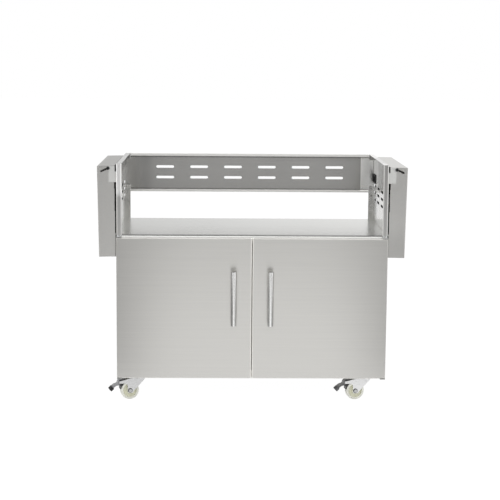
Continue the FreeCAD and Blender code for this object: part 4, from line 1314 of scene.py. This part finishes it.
@dataclass
class Studio:
    """Floor, soft lamps, a grey wall behind the camera, and the camera.

    The floor's painted dark flags fan out from a root behind the cart, and its painted dark strips lie beside
    the cart; a pair of strip values is for the left and the right one.
    """

    eye: Triple = (-0.1260, -5.5725, 1.3922)
    yaw: float = 0.022
    pitch: float = 0.146
    roll: float = 0.008
    lens: float = 100.27
    sensor: float = 36.0
    clip: float = 200.0
    ambient: float = 0.62
    dim_side: float = 0.78
    dim_turn: Span = (-0.12, 0.14)
    white: float = 1.07
    shadow: float = 0.10
    floor_tone: float = 0.92
    floor_size: float = 60.0
    fan_root: Span = (-0.126, 5.06)
    fan_middle: float = 0.026
    flag_inner: Span = (0.058, 0.12)
    flag_outer: Span = (0.28, 0.19)
    flag_start: Span = (-0.45, -0.75)
    flag_fall: float = 0.62
    near: Span = (-1.8, -0.6)
    near_dim: float = 0.15
    far: Span = (-4.0, -6.2)
    far_dim: float = 0.75
    strip_across: Triple = (1.3, 3.4, 0.25)
    strip_start: Span = (-1.9, -1.2)
    strip_end: Span = (0.3, 0.2)
    strip_fall: Span = (0.96, 0.88)
    wall_tone: float = 0.14
    wall_place: Triple = (0.0, -7.0, 1.0)
    wall_size: Span = (12.0, 2.0)
    lamps: tuple[Lamp, ...] = (Lamp("overhead", (0.0, -0.6, 3.4), (3.0, 2.2), 60.0),
                               Lamp("front", (0.1, -3.9, 2.4), (1.6, 1.6), 30.0))

    def camera(self) -> None:
        """Stand the camera where the photograph was taken from."""
        ahead = Vector((math.sin(self.yaw) * math.cos(self.pitch), math.cos(self.yaw) * math.cos(self.pitch),
                        -math.sin(self.pitch)))
        right = Vector((math.cos(self.yaw), -math.sin(self.yaw), 0.0))
        up = right.cross(ahead)
        level_right = right * math.cos(self.roll) + up * math.sin(self.roll)
        level_up = up * math.cos(self.roll) - right * math.sin(self.roll)
        data = bpy.data.cameras.new("camera")
        data.lens = self.lens
        data.sensor_width = self.sensor
        data.clip_end = self.clip
        camera = bpy.data.objects.new("camera", data)
        turn = Matrix((level_right, level_up, -ahead)).transposed().to_4x4()
        camera.matrix_world = Matrix.Translation(self.eye) @ turn
        bpy.context.scene.collection.objects.link(camera)
        bpy.context.scene.camera = camera

    def world(self) -> None:
        """White to the camera, a backdrop in reflections that is dimmer on the left, else a soft level."""
        world = bpy.data.worlds.new("studio")
        world.use_nodes = True
        bpy.context.scene.world = world
        graph = Graph(world.node_tree)
        seen = graph.seen()
        heading = graph.part(graph.node("ShaderNodeTexCoord", output="Generated"), Axis.X)
        backdrop = self.dim_side + graph.rise(heading, *self.dim_turn) * (1.0 - self.dim_side)
        shown = seen.at_least(backdrop)
        mirrored = seen.at_least(graph.ray("Is Glossy Ray"))
        level = self.ambient + mirrored * (shown - self.ambient)
        shine = graph.node("ShaderNodeBackground", {}, {"Color": graph.shade(level), "Strength": 1.0})
        graph.show("ShaderNodeOutputWorld", shine)

    def floor(self) -> None:
        """A pale floor: white to the camera with a faint shadow, and a painted pool of light in reflections,
        with painted shade in its flags, strips and near and far ends.
        """
        material, graph = new_graph("floor_white")
        seen = graph.seen()
        across, back = graph.along(Axis.X), graph.along(Axis.Y)
        root_x, root_y = self.fan_root
        # Painted light and shade seen only in reflections: a pool, dark flags, dark strips, and dimmer near
        # and far ends.
        fan = ((across - root_x) / (root_y - back) - self.fan_middle).size()
        flag = graph.rise(fan, *self.flag_inner) * graph.rise(fan, *self.flag_outer)
        pool = ((1.0 - flag * graph.rise(back, *self.flag_start) * self.flag_fall)
                * (1.0 - graph.rise(back, *self.far) * self.far_dim)
                * (1.0 - graph.rise(back, *self.near) * self.near_dim))
        for side in Side:
            beside = graph.band(across * float(side.value), *self.strip_across)
            strip = beside * graph.band(back, side.pick(self.strip_start), *self.strip_end)
            pool = pool * (1.0 - strip * side.pick(self.strip_fall))
        share = seen.at_least(graph.ray("Is Glossy Ray")) * (1.0 - self.shadow)
        paint = graph.node("ShaderNodeBsdfDiffuse", {}, {"Color": opaque(thrice(self.floor_tone))})
        glow = graph.node("ShaderNodeEmission", {},
                          {"Color": graph.shade(seen.at_least(pool)), "Strength": self.white})
        lit = graph.node("ShaderNodeMixShader", {}, {0: share, 1: paint, 2: glow})
        graph.show("ShaderNodeOutputMaterial", lit)
        self._sheet("floor", Matrix.Diagonal((self.floor_size, self.floor_size, 1.0, 1.0)), material)

    def wall(self) -> None:
        """A grey wall behind the camera, seen only in the steel."""
        material, graph = new_graph("wall_grey")
        tone = opaque(thrice(self.wall_tone))
        glow = graph.node("ShaderNodeEmission", {}, {"Color": tone, "Strength": 1.0})
        graph.show("ShaderNodeOutputMaterial", glow)
        upright = Matrix.Rotation(math.radians(90), 4, "X")
        place = Matrix.Translation(self.wall_place) @ upright @ Matrix.Diagonal((*self.wall_size, 1.0, 1.0))
        wall = self._sheet("wall", place, material)
        wall.visible_camera = False
        wall.visible_diffuse = False
        wall.visible_shadow = False

    def _sheet(self, name: str, place: Matrix, material: bpy.types.Material) -> bpy.types.Object:
        """A flat stage piece.

        Args:
            name: Its name.
            place: Takes a unit square to its place.
            material: Its finish.

        Returns:
            The object.
        """
        shape = bmesh.new()
        bmesh.ops.create_grid(shape, x_segments=1, y_segments=1, size=0.5, matrix=place)
        mesh = bpy.data.meshes.new(name)
        shape.to_mesh(mesh)
        shape.free()
        mesh.materials.append(material)
        sheet = bpy.data.objects.new(name, mesh)
        bpy.context.scene.collection.objects.link(sheet)
        return sheet

    def build(self) -> None:
        """Set up the whole studio."""
        bpy.context.scene.view_settings.view_transform = "Standard"
        self.world()
        self.floor()
        self.wall()
        for lamp in self.lamps:
            lamp.hang()
        self.camera()


def main() -> None:
    """Dress the cart, add its small hardware and set the studio."""
    logging.basicConfig(level=logging.INFO, format="%(name)s: %(message)s")
    fasteners = Fasteners()
    plate = PlatedSteel("zinc_plate").material()
    black = Moulded("bolt_black", thrice(0.025), 0.4, relief=0.03, coat=0.1).material()
    groups = (Frame(), Doors(fasteners, plate), Shelves(fasteners, plate, black), Casters(fasteners, plate))
    for group in groups:
        group.dress()
        group.build()
    Studio().build()


if __name__ == "__main__":
    main()
